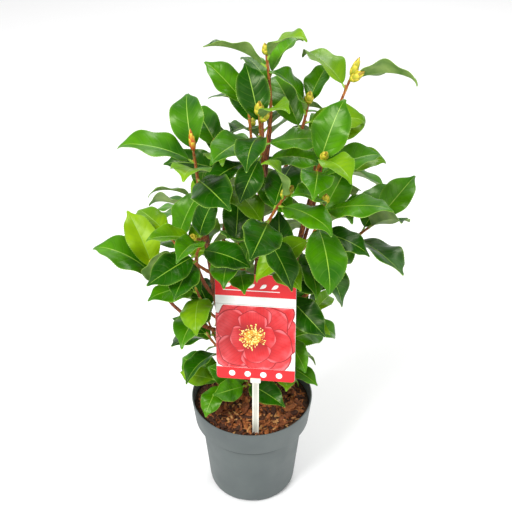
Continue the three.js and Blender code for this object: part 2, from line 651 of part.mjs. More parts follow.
function roundedSheet(width, height, corner, thick) {
  const [x, y] = [width / 2, height / 2];
  const shape = new THREE.Shape();
  shape.moveTo(x - corner, -y);
  shape.absarc(x - corner, corner - y, corner, -Math.PI / 2, 0);
  shape.absarc(x - corner, y - corner, corner, 0, Math.PI / 2);
  shape.absarc(corner - x, y - corner, corner, Math.PI / 2, Math.PI);
  shape.absarc(corner - x, corner - y, corner, Math.PI, 1.5 * Math.PI);
  const geometry = new THREE.ExtrudeGeometry(shape, { depth: thick, bevelEnabled: false, curveSegments: 4 });
  return geometry.translate(0, y, -thick / 2);
}

/** turns a shape drawn on X (right), Y (up the card) and Z (out of it) into its place */
function onCard(geometry) {
  const turn = new THREE.Matrix4().makeBasis(card.right, card.up, card.out).setPosition(card.foot);
  return geometry.applyMatrix4(turn);
}

function labelSolid() {
  return solidOf(onCard(roundedSheet(LABEL.width, LABEL.height, LABEL.corner, LABEL.thick)));
}

/** the stick's straight bar, or with extra the socket that it leaves in the soil */
function stickBar(extra = 0) {
  const [top, bottom] = [card.foot.z - STICK.below, STICK.bottom - extra];
  const bar = new THREE.BoxGeometry(STICK.width + 2 * extra, STICK.thick + 2 * extra, top - bottom);
  return solidOf(bar.translate(card.foot.x, card.foot.y - STICK.forward, (top + bottom) / 2));
}

/** the stick, and on its top the clip whose jaws hold the card's lower edge */
function stickSolid() {
  const jaws = new THREE.BoxGeometry(STICK.clipWidth, STICK.clipHeight, STICK.clipThick);
  jaws.translate(0, STICK.grip - STICK.clipHeight / 2, 0);
  const slot = new THREE.BoxGeometry(LABEL.width, LABEL.height, LABEL.thick + 2 * GAP);
  slot.translate(0, LABEL.height / 2 - GAP, 0);
  return stickBar().add(solidOf(onCard(jaws))).subtract(solidOf(onCard(slot)));
}

// ---------------------------------------------------------------- scene graph

const part = new THREE.Group();

function addPiece(name, solid, colour, roughness) {
  const material = new THREE.MeshStandardMaterial({ color: colour, roughness, metalness: 0 });
  const mesh = new THREE.Mesh(geometryOf(solid), material);
  mesh.name = name;
  part.add(mesh);
}

addPiece('pot', potSolid(), COLOURS.pot, 0.55);
addPiece('soil', soilSolid(), COLOURS.soil, 0.95);
addPiece('label_card', labelSolid(), COLOURS.label, 0.35);
addPiece('label_stick', stickSolid(), COLOURS.stick, 0.4);

const plant = growPlant();
for (const limb of plant.limbs.values()) {
  if (limb.kind === 'stem') addPiece(limb.name, stemSolid(limb), COLOURS.stem, 0.8);
  else addPiece(limb.name, sideLimbSolid(limb, plant.limbs.get(limb.on)), COLOURS.bough, 0.7);
}
plant.twigs.forEach((twig, mass) => {
  let solid = sideLimbSolid(twig, plant.limbs.get(twig.on));
  for (const leaf of plant.leaves.filter((each) => each.mass === mass)) solid = solid.add(leafSolid(leaf));
  for (const bud of plant.buds.filter((each) => each.mass === mass)) solid = solid.add(budSolid(bud));
  addPiece(`mass_${twig.name}`, solid, COLOURS.leaf, 0.4);
});

export default part;
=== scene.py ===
"""Looks of a young camellia shrub in a nursery pot, with a plant label on a stick.

Sizes are in millimetres until make_piece turns them into metres. The origin is the
centre of the pot's flat underside, +Z is up and the front faces -Y. Headings are
compass angles seen from above: 0 is +X, 90 is the back and 270 the front.
The shrub is grown again by the rule of the solids, from the same tables and seeds,
and carried finer: serrated blades with a midrib, scaled buds, knotted twigs, bark.
"""

from math import ceil, cos, pi, radians, sin

import bpy
import numpy as np
from bpy.props import FloatProperty, FloatVectorProperty, IntProperty, PointerProperty
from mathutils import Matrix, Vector


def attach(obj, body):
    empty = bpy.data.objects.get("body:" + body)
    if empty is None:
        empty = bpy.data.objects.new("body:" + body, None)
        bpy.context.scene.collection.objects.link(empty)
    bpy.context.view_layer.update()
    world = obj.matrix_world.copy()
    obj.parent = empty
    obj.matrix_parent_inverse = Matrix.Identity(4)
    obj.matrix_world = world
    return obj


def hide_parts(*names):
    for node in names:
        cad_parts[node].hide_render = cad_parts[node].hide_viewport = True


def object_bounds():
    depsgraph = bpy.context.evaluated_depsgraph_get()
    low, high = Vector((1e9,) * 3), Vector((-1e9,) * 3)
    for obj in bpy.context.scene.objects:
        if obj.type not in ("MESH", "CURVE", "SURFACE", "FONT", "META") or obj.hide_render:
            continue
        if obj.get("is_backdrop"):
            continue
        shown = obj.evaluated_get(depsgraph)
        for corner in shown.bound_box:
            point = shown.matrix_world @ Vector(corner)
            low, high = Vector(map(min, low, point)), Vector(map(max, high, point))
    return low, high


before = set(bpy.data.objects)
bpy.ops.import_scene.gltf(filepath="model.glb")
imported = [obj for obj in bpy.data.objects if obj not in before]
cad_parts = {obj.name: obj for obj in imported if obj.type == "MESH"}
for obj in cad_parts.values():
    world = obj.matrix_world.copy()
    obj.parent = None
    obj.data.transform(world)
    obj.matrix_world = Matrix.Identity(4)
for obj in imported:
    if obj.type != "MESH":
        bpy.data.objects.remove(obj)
CAD_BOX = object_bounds()

bl_info = {
    "name": "Potted camellia shrub",
    "version": (1, 0, 0),
    "blender": (4, 5, 0),
    "location": "3D View > Sidebar > Shrub",
    "description": "Grows a young camellia shrub with buds in a nursery pot with a plant label",
    "category": "Add Mesh",
}

MM = 0.001
UP = np.array([0.0, 0.0, 1.0])
GAP = 0.3                           # room between a piece and what carries it

# ---------- sizes shared with the solids

POT = {
    "height": 140, "rim_radius": 75, "band_radius": 71.5, "band_bottom": 106, "step_radius": 64,
    "foot_radius": 52.5, "body_bottom_radius": 55.5, "foot_round": 8, "wall": 1.5, "floor": 5,
    "notches": 6, "notch_width": 23, "notch_height": 3.5, "notch_depth": 8, "first_notch": 265,
}
SOIL_TOP = 128.0
LABEL = {"foot": (4.5, -59.0, 214.0), "width": 90.0, "height": 132.0, "thick": 0.8, "corner": 4.0,
         "yaw": -8, "roll": 0.03, "lean": 11.4}
STICK = {"width": 7.5, "thick": 1.3, "bottom": 102, "forward": 0.4, "below_card": 1,
         "foot_share": 0.92, "foot_round": 0.4, "clip_width": 12, "clip_height": 6,
         "clip_thick": 3.4, "clip_shrink": 0.06, "clip_corner": 1, "grip": 2.5}
RAIL = {"width": 1.1, "round": 0.2, "slope": 0.3, "web": 0.55, "side": 0.7}
FLARE = {"height": 20, "growth": 0.65}
SWEEP = {"out": 0.6, "up": 0.3}     # shares of a limb's reach and rise at its middle point
LEADER = 0.4
TWIG = {"start": 1.7, "end": 1.1}

# name, foot x, foot y, heading, lean, height, bow, foot radius, top radius
STEMS = [
    ("stem_left", -20, 6, 218, 43, 316, 6, 4.6, 2.6),
    ("stem_centre", -3, 17, 332, 25, 372, -5, 4.2, 2.4),
    ("stem_right", 17, 3, 357, 63, 368, -10, 4.2, 2.4),
]
# name, stem, share of the stem's length, heading, reach, rise, radius at its start and tip
BOUGHS = [
    ("bough_crown", "stem_centre", 0.78, 20, 40, 62, 2.2, 1.7),
    ("bough_left_back", "stem_left", 0.5, 75, 46, 138, 2.3, 1.8),
    ("bough_front_high", "stem_centre", 0.56, 275, 60, 66, 2.3, 1.8),
    ("bough_right_front", "stem_right", 0.7, 280, 40, 76, 2.2, 1.7),
    ("bough_right_low", "stem_right", 0.38, 360, 60, 74, 2.4, 1.8),
    ("bough_left_low", "stem_left", 0.36, 200, 62, 62, 2.4, 1.8),
    ("bough_left_front", "stem_left", 0.54, 240, 34, 60, 2.3, 1.8),
    ("bough_back_high", "stem_centre", 0.6, 85, 66, 66, 2.3, 1.8),
    ("bough_back_right", "stem_right", 0.5, 65, 76, 76, 2.3, 1.8),
    ("bough_back_left", "stem_left", 0.34, 105, 84, 86, 2.4, 1.8),
    ("bough_heart", "stem_centre", 0.38, 275, 26, 46, 2.2, 1.7),
]
# name, limb, share of its length, heading, reach, rise, leaves, first leaf's heading, bud
# length, and where they aren't the usual ones: the turn from leaf to leaf, the first leaf's
# spread from the twig and its step from leaf to leaf, the leaves' size, the heading of a
# second bud, and how many of the first leaves look to the back
MASSES = [
    ("crown_top", "stem_centre", 1, 185, 4, 76, 10, -15, 13,
     {"turn": 188, "spread": 40, "step": 3, "turned_away": 3}),
    ("crown_right", "stem_right", 1, 0, 18, 60, 2, 5, 22,
     {"spread": 50, "side_bud": 330, "size": 1.15, "turned_away": 1}),
    ("crown_left", "stem_left", 1, 205, 4, 42, 8, 115, 26, {"turn": 72, "size": 1.1, "step": 3}),
    ("crown_back", "bough_crown", 1, 350, 8, 38, 8, 80, 16, {}),
    ("crown_front", "stem_centre", 0.84, 260, 34, 86, 6, 320, 18, {"side_bud": 0}),
    ("crown_side", "stem_centre", 0.74, 205, 16, 124, 9, 168, 0, {}),
    ("left_back", "bough_left_back", 1, 200, 8, 38, 8, 120, 15, {}),
    ("front_high", "bough_front_high", 1, 325, 26, 56, 9, 190, 15, {"side_bud": 110, "size": 1.1}),
    ("right_front", "bough_right_front", 1, 290, 16, 32, 8, 300, 14, {"size": 1.1}),
    ("right_inner", "stem_right", 0.6, 290, 66, 100, 9, 205, 14, {}),
    ("right_tip", "bough_right_low", 1, 355, 42, 50, 5, 40, 12,
     {"turn": 216, "spread": 28, "size": 1.2}),
    ("right_mid", "stem_right", 0.28, 355, 40, 34, 5, 0, 0, {}),
    ("right_low", "stem_right", 0.22, 330, 24, 46, 4, 330, 0, {"size": 0.85}),
    ("right_foot", "stem_right", 0.12, 330, 24, 22, 4, 320, 0, {"size": 0.75}),
    ("left_tip", "bough_left_low", 1, 180, 14, 42, 3, 100, 13,
     {"turn": 80, "spread": 12, "step": 2, "size": 1.15}),
    ("left_high", "stem_left", 0.8, 245, 24, 12, 2, 180, 13, {}),
    ("left_front", "bough_left_front", 1, 290, 20, 40, 8, 225, 0, {}),
    ("left_mid", "stem_left", 0.42, 225, 34, 60, 5, 200, 0, {}),
    ("left_low", "stem_left", 0.26, 220, 26, 38, 3, 190, 0, {"size": 0.9}),
    ("left_foot", "stem_left", 0.08, 225, 26, 22, 4, 185, 0, {"size": 0.85}),
    ("front_low", "bough_heart", 1, 215, 28, 34, 8, 240, 0, {"spread": 55}),
    ("pot_front", "stem_centre", 0.07, 262, 36, 14, 4, 190, 0, {"size": 0.85}),
    ("back_high", "bough_back_high", 1, 135, 16, 44, 9, 90, 14, {"turned_away": 9}),
    ("back_right", "bough_back_right", 1, 40, 24, 32, 9, 60, 14, {"turned_away": 9}),
    ("back_left", "bough_back_left", 1, 145, 30, 32, 9, 120, 14, {"turned_away": 9}),
    ("back_mid", "stem_centre", 0.5, 85, 80, 38, 9, 70, 14, {"turned_away": 9}),
    ("back_low", "stem_centre", 0.26, 95, 74, 36, 8, 100, 0, {"turned_away": 8}),
    ("back_right_low", "stem_right", 0.26, 55, 80, 52, 8, 40, 0, {"turned_away": 8}),
    ("back_left_low", "stem_left", 0.18, 120, 62, 40, 8, 150, 0, {"turned_away": 8}),
    ("back_foot", "stem_centre", 0.1, 70, 46, 16, 5, 80, 0, {"turned_away": 5}),
    ("left_outer", "stem_left", 0.64, 170, 46, 44, 7, 190, 12, {}),
    ("right_outer", "stem_right", 0.6, 20, 44, 44, 8, 350, 13, {}),
    ("heart_left", "stem_left", 0.62, 330, 34, 60, 8, 250, 0, {}),
    ("heart_right", "stem_right", 0.44, 250, 30, 60, 8, 300, 0, {}),
    ("right_high", "stem_right", 0.84, 40, 22, 40, 5, 30, 13, {"size": 0.8}),
    ("back_upper_left", "stem_left", 0.7, 105, 46, 60, 8, 80, 13, {"turned_away": 8}),
    ("back_upper_right", "stem_right", 0.72, 75, 50, 52, 8, 50, 13, {"turned_away": 8}),
    ("back_crown", "stem_centre", 0.86, 95, 42, 50, 8, 110, 13, {"turned_away": 8}),
]
SEED, SEED_STEP, TURN = 1000, 37, 144    # first mass's seed, step to the next, turn of leaves
LEAF = {"length": 70, "shortest": 0.86, "spread": 0.26, "first_size": 0.8, "second_size": 0.92,
        "half": 0.265, "half_spread": 0.045, "droop": (22, 46), "fold": (8, 26), "roll": 22,
        "stalk": 7, "stalk_spread": 3, "cup": 0.18}
LIGHT = np.array([0, -0.4, 0.92])   # where upper sides look, and those that are turned away
AWAY = np.array([0, 0.5, 0.86])
FACING = {"axis": 0.45, "light": 0.9}
NODES = {"top": 4, "gap": 7.6, "growth": 0.2, "lowest": 0.06, "waver": 12}
SPREAD = {"top": 34, "step": 10, "most": 84, "waver": 8, "least": 15, "widest": 100}
BUD = {"girth": 0.24, "lean": 0.9, "second_at": 0.95, "second_size": 0.85, "posts": (0.2, 0.5, 0.8)}
CLEAR = {"leaf": 5.6, "same_mass": 4.8, "stalk": 3, "limb": 4.4, "stalk_to_limb": 2,
         "stalk_to_leaf": 5, "own_twig": 2.5}
CROWN = {"half_width": 186, "half_depth": 160, "top": 613, "skirt_top": 290, "skirt_reach": 0.57}
ROOM = {"soil": 6, "rim_above": 5, "rim_inside": 10, "stick": 9, "card": 5, "card_side": 2,
        "card_header": 26, "below": 60}
READING_LINE = np.array([0, 0.8, -0.6])    # direction in which the label is read
# Points across and along a blade at which its room is measured
ACROSS = np.array([-0.96, -0.64, -0.32, 0, 0.32, 0.64, 0.96])
STATIONS = np.arange(1, 11) / 10
POST_SPACING = 4                    # distance between the points that stand for a limb
NO_DIRECTION = 0.25                 # a vector's side part shorter than this isn't used
# Turn about the twig, tilt from it and size of each try to find room for a leaf
TRIES = [
    (0, 0, 1), (20, 0, 1), (-20, 0, 1), (0, 18, 1), (0, -18, 1), (40, 0, 0.95), (-40, 0, 0.95),
    (20, 18, 0.95), (-20, -18, 0.95), (60, 0, 0.88), (-60, 0, 0.88), (40, -20, 0.88),
    (-40, 20, 0.88), (0, 0, 0.78), (30, 0, 0.78), (-30, 0, 0.78), (80, 10, 0.8), (-80, -10, 0.8),
    (120, 0, 0.8), (-120, 0, 0.8), (0, 0, 0.66), (50, 10, 0.66), (-50, 10, 0.66),
]

# ---------- sizes of the finer shapes

SQUEEZE = 15                        # depth that is drawn in where a leaf would pass the solids' box

# Places across a blade from margin to margin; the two middle ones bound the midrib
BLADE_V = np.array([1, 0.968, 0.68, 0.34, 0.024, -0.024, -0.34, -0.68, -0.968, -1])
BLADE = {"seam": 0.06, "stalk_rings": 5, "stalk_radius": 1.0, "stalk_foot": 1.2, "stalk_fade": 40,
         "sink": 1.4, "edge_thick": 0.35, "rib_thick": 0.9, "rib_ridge": 0.5, "rib_groove": 0.22,
         "rib_half": 0.1, "rib_fade": 0.6, "curl_from": 0.72, "waves": 2.3}
# Blades are drawn out to a narrower tip, and are fuller at the belly, than the solids' are
NARROW_TIP = {"share": 0.3, "at": 0.88, "over": 0.085}
BELLY = {"share": 0.06, "at": 0.4, "over": 0.2}
LEAF_PIECES = 3
LEAF_AGES = ("dark", "mid", "fresh", "young")
LEAF_ROUGHNESS = (0.3, 0.3, 0.33, 0.38)
UNDERSIDE, MIDRIB = 4, 5            # material numbers after those of the ages
FRESH_FROM = {"mid": 0.4, "fresh": 0.9, "first_leaf": 0.35}    # against a leaf's own draw
YOUNG_LEAVES = {("left_tip", 0)}    # mass and rank of the palest leaves

BUD_MOST = 4.0                      # radius of the fattest bud
SLENDER = {"from": 18, "power": 1.2}    # a bud longer than this thins by its share of the length
BUD_SCALES = {"count": 10, "turn": 144, "rings": 8, "step": 0.05, "first_end": 0.34,
              "end_step": 0.075, "lift": 0.018, "thick": 0.35, "half_angle": 62,
              "across": 7, "bud_turn": 40, "flare": 0.05, "clear": 0.12, "last_end": 0.99}
LEAF_BUDS = ("crown_left",)         # masses that end in a long reddish leaf bud
AXIL_BUD = {"length": 4.2, "radius": 1.15, "up_stalk": 1.2, "lean": 0.7}
BARE_TIP_BUD = {"length": 7, "radius": 1.5, "sunk": 1}
BUD_RINGS, BUD_SIDES = 10, 14
SMALL_RINGS, SMALL_SIDES = 6, 8

TWIG_RINGS, TWIG_SIDES = 60, 12
TWIG_KNOT = {"over": 1.5, "swell": 0.22, "bark": 1.12}
STEM_RINGS, STEM_SIDES = 260, 28
BOUGH_RINGS, BOUGH_SIDES = 110, 18
BARK_DOTS = (176, 138, 98)
YOUNG_BARK = (0.2, 0.42)            # heights in metres between which the stems' bark turns young

POT_FOOT = {"corner_out": 1.9, "corner_up": 2.4, "wall_out": 2.3, "wall_up": 3.7,
            "notch_step": 0.3, "floor_inside": 1}
POT_RIM = {"round": 0.5, "drop": 1, "ledge": 2, "edges": 0.7}
POT_LINE = [(95.4, 0), (96.2, 0.6), (97, 0.6), (97.8, 0)]    # height and depth of a moulded line

SOIL = {"sides": 160, "foot_inside": 3.5, "low": 9, "ledge": 3, "heights": (112, 125), "rings": 24,
        "edge_rings": 5, "edge_drop": 3, "lumps_from": 124, "lumps_over": 3, "sunk": 0.6}
CHIPS = {"seed": 11, "shortest": 2.6, "growth": 10.5, "wall": 2.5, "sunk": 0.7, "heap": 2.2,
         "edge_from": 52, "edge_over": 16, "edge_drop": 2.4, "tilt": 0.28, "roll": 0.45,
         "slimmest": 0.2, "wider": 0.26, "thinnest": 0.5, "thicker": 0.9,
         "along": (-0.8, 0.05, 0.75), "girth": (0.75, 1, 0.7), "rough": (0.75, 0.5), "sides": 5}
CHIP_SHARES = (0.34, 0.3, 0.22, 0.14)    # from the darkest kind of chip to the palest
CHIP_COLOURS = (((92, 48, 22), (46, 24, 12)), ((154, 84, 38), (98, 50, 22)),
                ((192, 114, 56), (142, 76, 34)), ((222, 168, 104), (180, 118, 62)))
FIBRE = {"seed": 5, "shortest": 6, "growth": 14, "reach": 52, "radius": 0.28, "span": 0.6,
         "lift": 0.8, "bow": 2.5, "rings": 8, "sides": 5, "colour": 2}

# Material numbers of the label, and sizes of its print across and up the card; square is the
# radius of a corner that is left nearly sharp
WHITE, RED, PETAL, LEAF_GREEN, FLOWER_MIDDLE, GREY, STAMEN_TIP, PETAL_SHADE = range(8)
PRINT = {"inset": 0.15, "sunk": 0.02, "ink": 0.025, "shrink": 0.02, "header": 105, "line": 94.5,
         "line_thick": 0.5, "foot": 15, "square": 0.1}
LEAF_MARKS = {"count": 5, "length": 9, "width": 4.2, "turn": 35, "first": -34, "step": 13, "up": 115}
RULE = (-36, 111.6, 27, 112.5, 0.3)    # a thin white line in the header, and its corner radius
DISCS = {"count": 4, "first": -27, "step": 18, "radius": 3.6}
FLOWER = {"at": (-3, 55), "middle": 15, "stray": 9, "uneven": 0.12, "ruffle": 0.035, "shade": 1.035,
          "rings": 6, "points": 60, "shade_step": 0.3, "step": 0.6, "middle_share": 0.62,
          "leaf_width": 0.4, "below": 0.2, "above": 1}
WHORLS = ((7, 60, 50, 12), (6, 46, 42, 38), (4, 30, 32, 5))    # petals, length, width, first turn
FLOWER_LEAVES = ((218, 50), (143, 48), (-36, 52), (38, 46))    # turn and length
STAMENS = {"count": 130, "seed": 3, "half": 0.22, "round": 0.2, "nearest": 0.1, "stretch": 0.2,
           "step": 0.1, "tip": 0.75, "tip_spread": 0.35, "tip_squash": 0.8, "tip_corner": 0.75,
           "tip_turn": 40, "tip_step": 0.4, "steps": 3}
PLATE_EDGE = (0.4, 0.3)             # shares of a plate's depth at its lower and upper edge
CARD_EDGE = 0.002                   # share by which the card's faces are smaller than its outline
GLOSSY, SATIN = 0.3, 0.35           # roughness of the inks and of the bare card

# Scale of the mottling, roughness, and scale, strength and depth in metres of the grain
SURFACES = {
    "Matt pot plastic": (14, 0.55, 2400, 0.18, 0.0001), "Bark chip": (420, 0.7, 2200, 0.6, 0.0004),
    "Moist soil": (260, 0.85, 900, 0.9, 0.0012), "White stick plastic": (60, 0.4, 1800, 0.15, 0.0001),
    "Leaf underside": (60, 0.6, 900, 0.3, 0.0003), "Stalk and midrib": (90, 0.45, 1400, 0.2, 0.0002),
}
# Roughness of the bark and depth in metres of its relief
BARKS = {"Stem bark": (0.8, 0.0006), "Bough bark": (0.7, 0.0004), "Twig bark": (0.55, 0.0002)}

# The stage is in metres: name, power, size, place and aim of each lamp, and the camera
LAMPS = [("key", 46, 0.9, (-1.1, -1.2, 2.0), (0, 0, 0.35)),
         ("fill", 12, 1.4, (1.5, -1.2, 1.0), (0, 0, 0.3)),
         ("back", 20, 1.1, (0.5, 1.4, 2.0), (0, 0, 0.35))]
CAMERA = {"place": (0.005, -0.787, 0.874), "down": 33.9, "lens": 59.77, "sensor": 36}
SKY = 0.7
FLOOR = {"half": 6.0, "grey": 0.93, "rough": 0.7}


# ---------- small tools

class Draw:
    """Whole-number generator shared with the solids: state times 48271, modulo 2^31 - 1."""

    def __init__(self, seed):
        """Starts from the seed, a whole number."""
        self.state = seed

    def next(self):
        """The next draw, from 0 to 1."""
        self.state = self.state * 48271 % 2147483647
        return self.state / 2147483647

    def about(self, spread):
        """The next draw, from -spread to spread."""
        return (2 * self.next() - 1) * spread


def unit(v):
    """Vectors divided by their length."""
    return v / np.linalg.norm(v, axis=-1, keepdims=True)


def heading(degrees):
    """The level unit vector of a compass angle."""
    return np.array([cos(radians(degrees)), sin(radians(degrees)), 0.0])


def turned(v, axis, degrees):
    """v turned about a unit axis, by Rodrigues' formula."""
    a = radians(degrees)
    return v * cos(a) + np.cross(axis, v) * sin(a) + axis * ((axis @ v) * (1 - cos(a)))


def square(v, axis):
    """v less its part along the unit vector axis."""
    return v - axis * (v @ axis)


def square_all(v, axis):
    """Each v less its part along its own unit axis."""
    return v - axis * (v * axis).sum(1, keepdims=True)


def between(first, last, t):
    """The value a share t of the way from first to last."""
    return first + (last - first) * t


def point_on(path, t):
    """Quadratic curve through a path's first and last point, pulled by its middle one."""
    t = np.asarray(t, float)[..., None]
    return path[0] * (1 - t) ** 2 + path[1] * (2 * t * (1 - t)) + path[2] * t ** 2


def slope_on(path, t):
    """Unit direction of that curve: its two legs, mixed by the share t."""
    t = np.asarray(t, float)[..., None]
    return unit((path[1] - path[0]) * (1 - t) + (path[2] - path[1]) * t)


def chord(path):
    """Straight distance between a path's ends."""
    return np.linalg.norm(path[2] - path[0])


def circle(count):
    """Angles of evenly spaced points round a circle."""
    return 2 * pi * np.arange(count) / count


def sweep(start, degrees, reach, rise):
    """A path that leaves outwards and turns up: its middle point has more of the reach."""
    out = heading(degrees)
    return (start, start + out * (SWEEP["out"] * reach) + UP * (SWEEP["up"] * rise),
            start + out * reach + UP * rise)


def smooth(x):
    """0 below 0, 1 above 1 and a smooth step between."""
    x = np.clip(x, 0, 1)
    return x * x * (3 - 2 * x)


def bell(s, at, over):
    """A bell curve of s: 1 at its middle, and exp(-1) at the distance over."""
    return np.exp(-((s - at) / over) ** 2)


# ---------- growth

def outline(s):
    """Half width of a blade as a share of its widest: a skewed sine of s, drawn in at the tip."""
    return np.maximum(0, np.sin(pi * s ** 0.9)) ** 0.72 * (1 - 0.42 * bell(s, 0.95, 0.075))


def blade_points(leaf, s, v):
    """Points of a blade: its midrib is an arc that droops and its halves fold up from it."""
    bend, length = leaf["droop"], leaf["length"]
    out, down = length * np.sin(bend * s) / bend, -length * (1 - np.cos(bend * s)) / bend
    width = leaf["half"] * outline(s)
    normal = leaf["along"] * np.sin(bend * s)[:, None] + leaf["face"] * np.cos(bend * s)[:, None]
    rise = width * (np.abs(v) * sin(leaf["fold"]) - LEAF["cup"] * v * v)
    return (leaf["base"] + leaf["along"] * out[:, None] + leaf["face"] * down[:, None]
            + leaf["side"] * (v * width * cos(leaf["fold"]))[:, None] + normal * rise[:, None])


def grow_limbs():
    """Stems that lean and bow from the soil, and the boughs that sweep out of them."""
    limbs = {}
    for name, x, y, degrees, lean, height, bow, start, end in STEMS:
        foot = np.array([x, y, SOIL_TOP])
        top = foot + heading(degrees) * lean + UP * height
        path = (foot, (foot + top) / 2 + heading(degrees) * bow, top)
        limbs[name] = {"path": path, "start": start, "end": end}
    for name, on, share, degrees, reach, rise, start, end in BOUGHS:
        path = sweep(point_on(limbs[on]["path"], share), degrees, reach, rise)
        limbs[name] = {"path": path, "start": start, "end": end}
    return limbs


def grow_twig(limbs, row):
    """A mass's twig: a sweep from its limb's side, or a leader that goes on from its tip."""
    _, on, share, degrees, reach, rise = row[:6]
    start = point_on(limbs[on]["path"], share)
    path = sweep(start, degrees, reach, rise)
    if share == 1:
        forward = slope_on(limbs[on]["path"], 1)
        handle = start + forward * (LEADER * (reach * reach + rise * rise) ** 0.5)
        path = (start + forward * GAP, handle, path[2])
    return {"path": path, "start": TWIG["start"], "end": TWIG["end"]}


def grow_leaves(twig, mass, row):
    """The leaves that a twig asks for, from its tip back: each stands a growing gap below the
    last and a fixed turn round from it, and seeded draws give its size, droop, fold and roll."""
    count, first, _, own = row[6:]
    draw = Draw(SEED + SEED_STEP * mass)
    length = chord(twig["path"])
    turn, first_spread = own.get("turn", TURN), own.get("spread", SPREAD["top"])
    spread_step, turned_away = own.get("step", SPREAD["step"]), own.get("turned_away", 0)
    leaves, back = [], NODES["top"]
    for k in range(count):
        share = 1 - back / length
        if share < NODES["lowest"]:
            break
        axis = slope_on(twig["path"], share)
        around = heading(first + turn * k + draw.about(NODES["waver"]))
        spread = min(SPREAD["most"], first_spread + spread_step * k) + draw.about(SPREAD["waver"])
        radial = square(around, axis)
        if np.linalg.norm(radial) < NO_DIRECTION:
            radial = radial + square(UP, axis)
        size = LEAF["shortest"] + LEAF["spread"] * draw.next()
        rank = {0: LEAF["first_size"], 1: LEAF["second_size"]}.get(k, 1)
        blade = LEAF["length"] * size * rank * own.get("size", 1)
        leaves.append({
            "mass": mass, "rank": k, "share": share, "light": AWAY if k < turned_away else LIGHT,
            "root": point_on(twig["path"], share), "axis": axis, "radial": unit(radial),
            "spread": spread, "length": blade,
            "half": blade * (LEAF["half"] + LEAF["half_spread"] * draw.next()),
            "droop": radians(LEAF["droop"][0] + LEAF["droop"][1] * draw.next()),
            "fold": radians(LEAF["fold"][0] + LEAF["fold"][1] * draw.next()),
            "roll": draw.about(LEAF["roll"]),
            "stalk": LEAF["stalk"] + LEAF["stalk_spread"] * draw.next(),
            "tone": draw.next(),
        })
        back += NODES["gap"] * (1 + NODES["growth"] * k)
    return leaves


def grow_buds(twig, mass, row):
    """The flower bud on a twig's tip, and a second one that leans off beside it."""
    length, own = row[8:]
    if not length:
        return []
    forward = slope_on(twig["path"], 1)
    buds = [{"mass": mass, "base": twig["path"][2], "along": forward, "length": length}]
    if "side_bud" in own:
        along = unit(forward + heading(own["side_bud"]) * BUD["lean"])
        base = point_on(twig["path"], BUD["second_at"])
        buds.append({"mass": mass, "base": base, "along": along,
                     "length": length * BUD["second_size"]})
    for bud in buds:
        bud["radius"] = bud["length"] * BUD["girth"]
    return buds


def pose(leaf, turn, tilt, scale):
    """A leaf set at one of the places it may try."""
    radial = unit(turned(leaf["radial"], leaf["axis"], turn))
    off = radians(max(SPREAD["least"], min(SPREAD["widest"], leaf["spread"] + tilt)))
    along = unit(leaf["axis"] * cos(off) + radial * sin(off))
    face = square(leaf["axis"] * FACING["axis"] + leaf["light"] * FACING["light"], along)
    if np.linalg.norm(face) < NO_DIRECTION:
        face = square(leaf["axis"], along)
    face = turned(unit(face), along, leaf["roll"])
    return dict(leaf, along=along, face=face, side=np.cross(face, along),
                base=leaf["root"] + along * leaf["stalk"],
                length=leaf["length"] * scale, half=leaf["half"] * scale)


def card_frame():
    """Foot, right, up and out of the label's card."""
    right = unit(np.append([cos(radians(LABEL["yaw"])), sin(radians(LABEL["yaw"]))], LABEL["roll"]))
    lean = radians(LABEL["lean"])
    up = unit(square(np.array([0, sin(lean), cos(lean)]), right))
    return np.array(LABEL["foot"]), right, up, np.cross(right, up)


CARD_FOOT, CARD_RIGHT, CARD_UP, CARD_OUT = card_frame()


def leaves_its_space(p):
    """Whether points pass the crown's elliptic reach, or stand in the rim, stick or soil."""
    x, y, z = p.T
    reach = np.where(z < CROWN["skirt_top"], CROWN["skirt_reach"], 1)
    wide = (x / CROWN["half_width"]) ** 2 + (y / CROWN["half_depth"]) ** 2 > reach ** 2
    on_rim = (z < POT["height"] + ROOM["rim_above"]) & (
        np.hypot(x, y) > POT["rim_radius"] - ROOM["rim_inside"])
    by_stick = (np.hypot(x - CARD_FOOT[0], y - CARD_FOOT[1]) < ROOM["stick"]) & (z < CARD_FOOT[2])
    return (wide | on_rim | by_stick | (z > CROWN["top"]) | (z < SOIL_TOP + ROOM["soil"])).any()


def meets_card(p):
    """Whether points touch the label, or would hide more of it than its header."""
    away = p - CARD_FOOT
    out, right, up = away @ CARD_OUT, away @ CARD_RIGHT, away @ CARD_UP
    near = ((np.abs(out) < ROOM["card"]) & (np.abs(right) < LABEL["width"] / 2 + ROOM["card"])
            & (up > -ROOM["card"]) & (up < LABEL["height"] + ROOM["card"]))
    seen = away + READING_LINE * (out / -(READING_LINE @ CARD_OUT))[:, None]
    hides = ((out > 0) & (np.abs(seen @ CARD_RIGHT) < LABEL["width"] / 2 + ROOM["card_side"])
             & (seen @ CARD_UP < LABEL["height"] - ROOM["card_header"])
             & (seen @ CARD_UP > -ROOM["below"]))
    return (near | hides).any()


def least(points, others):
    """The shortest distance between two sets of points."""
    return ((points[:, None] - others[None]) ** 2).sum(2).min() ** 0.5


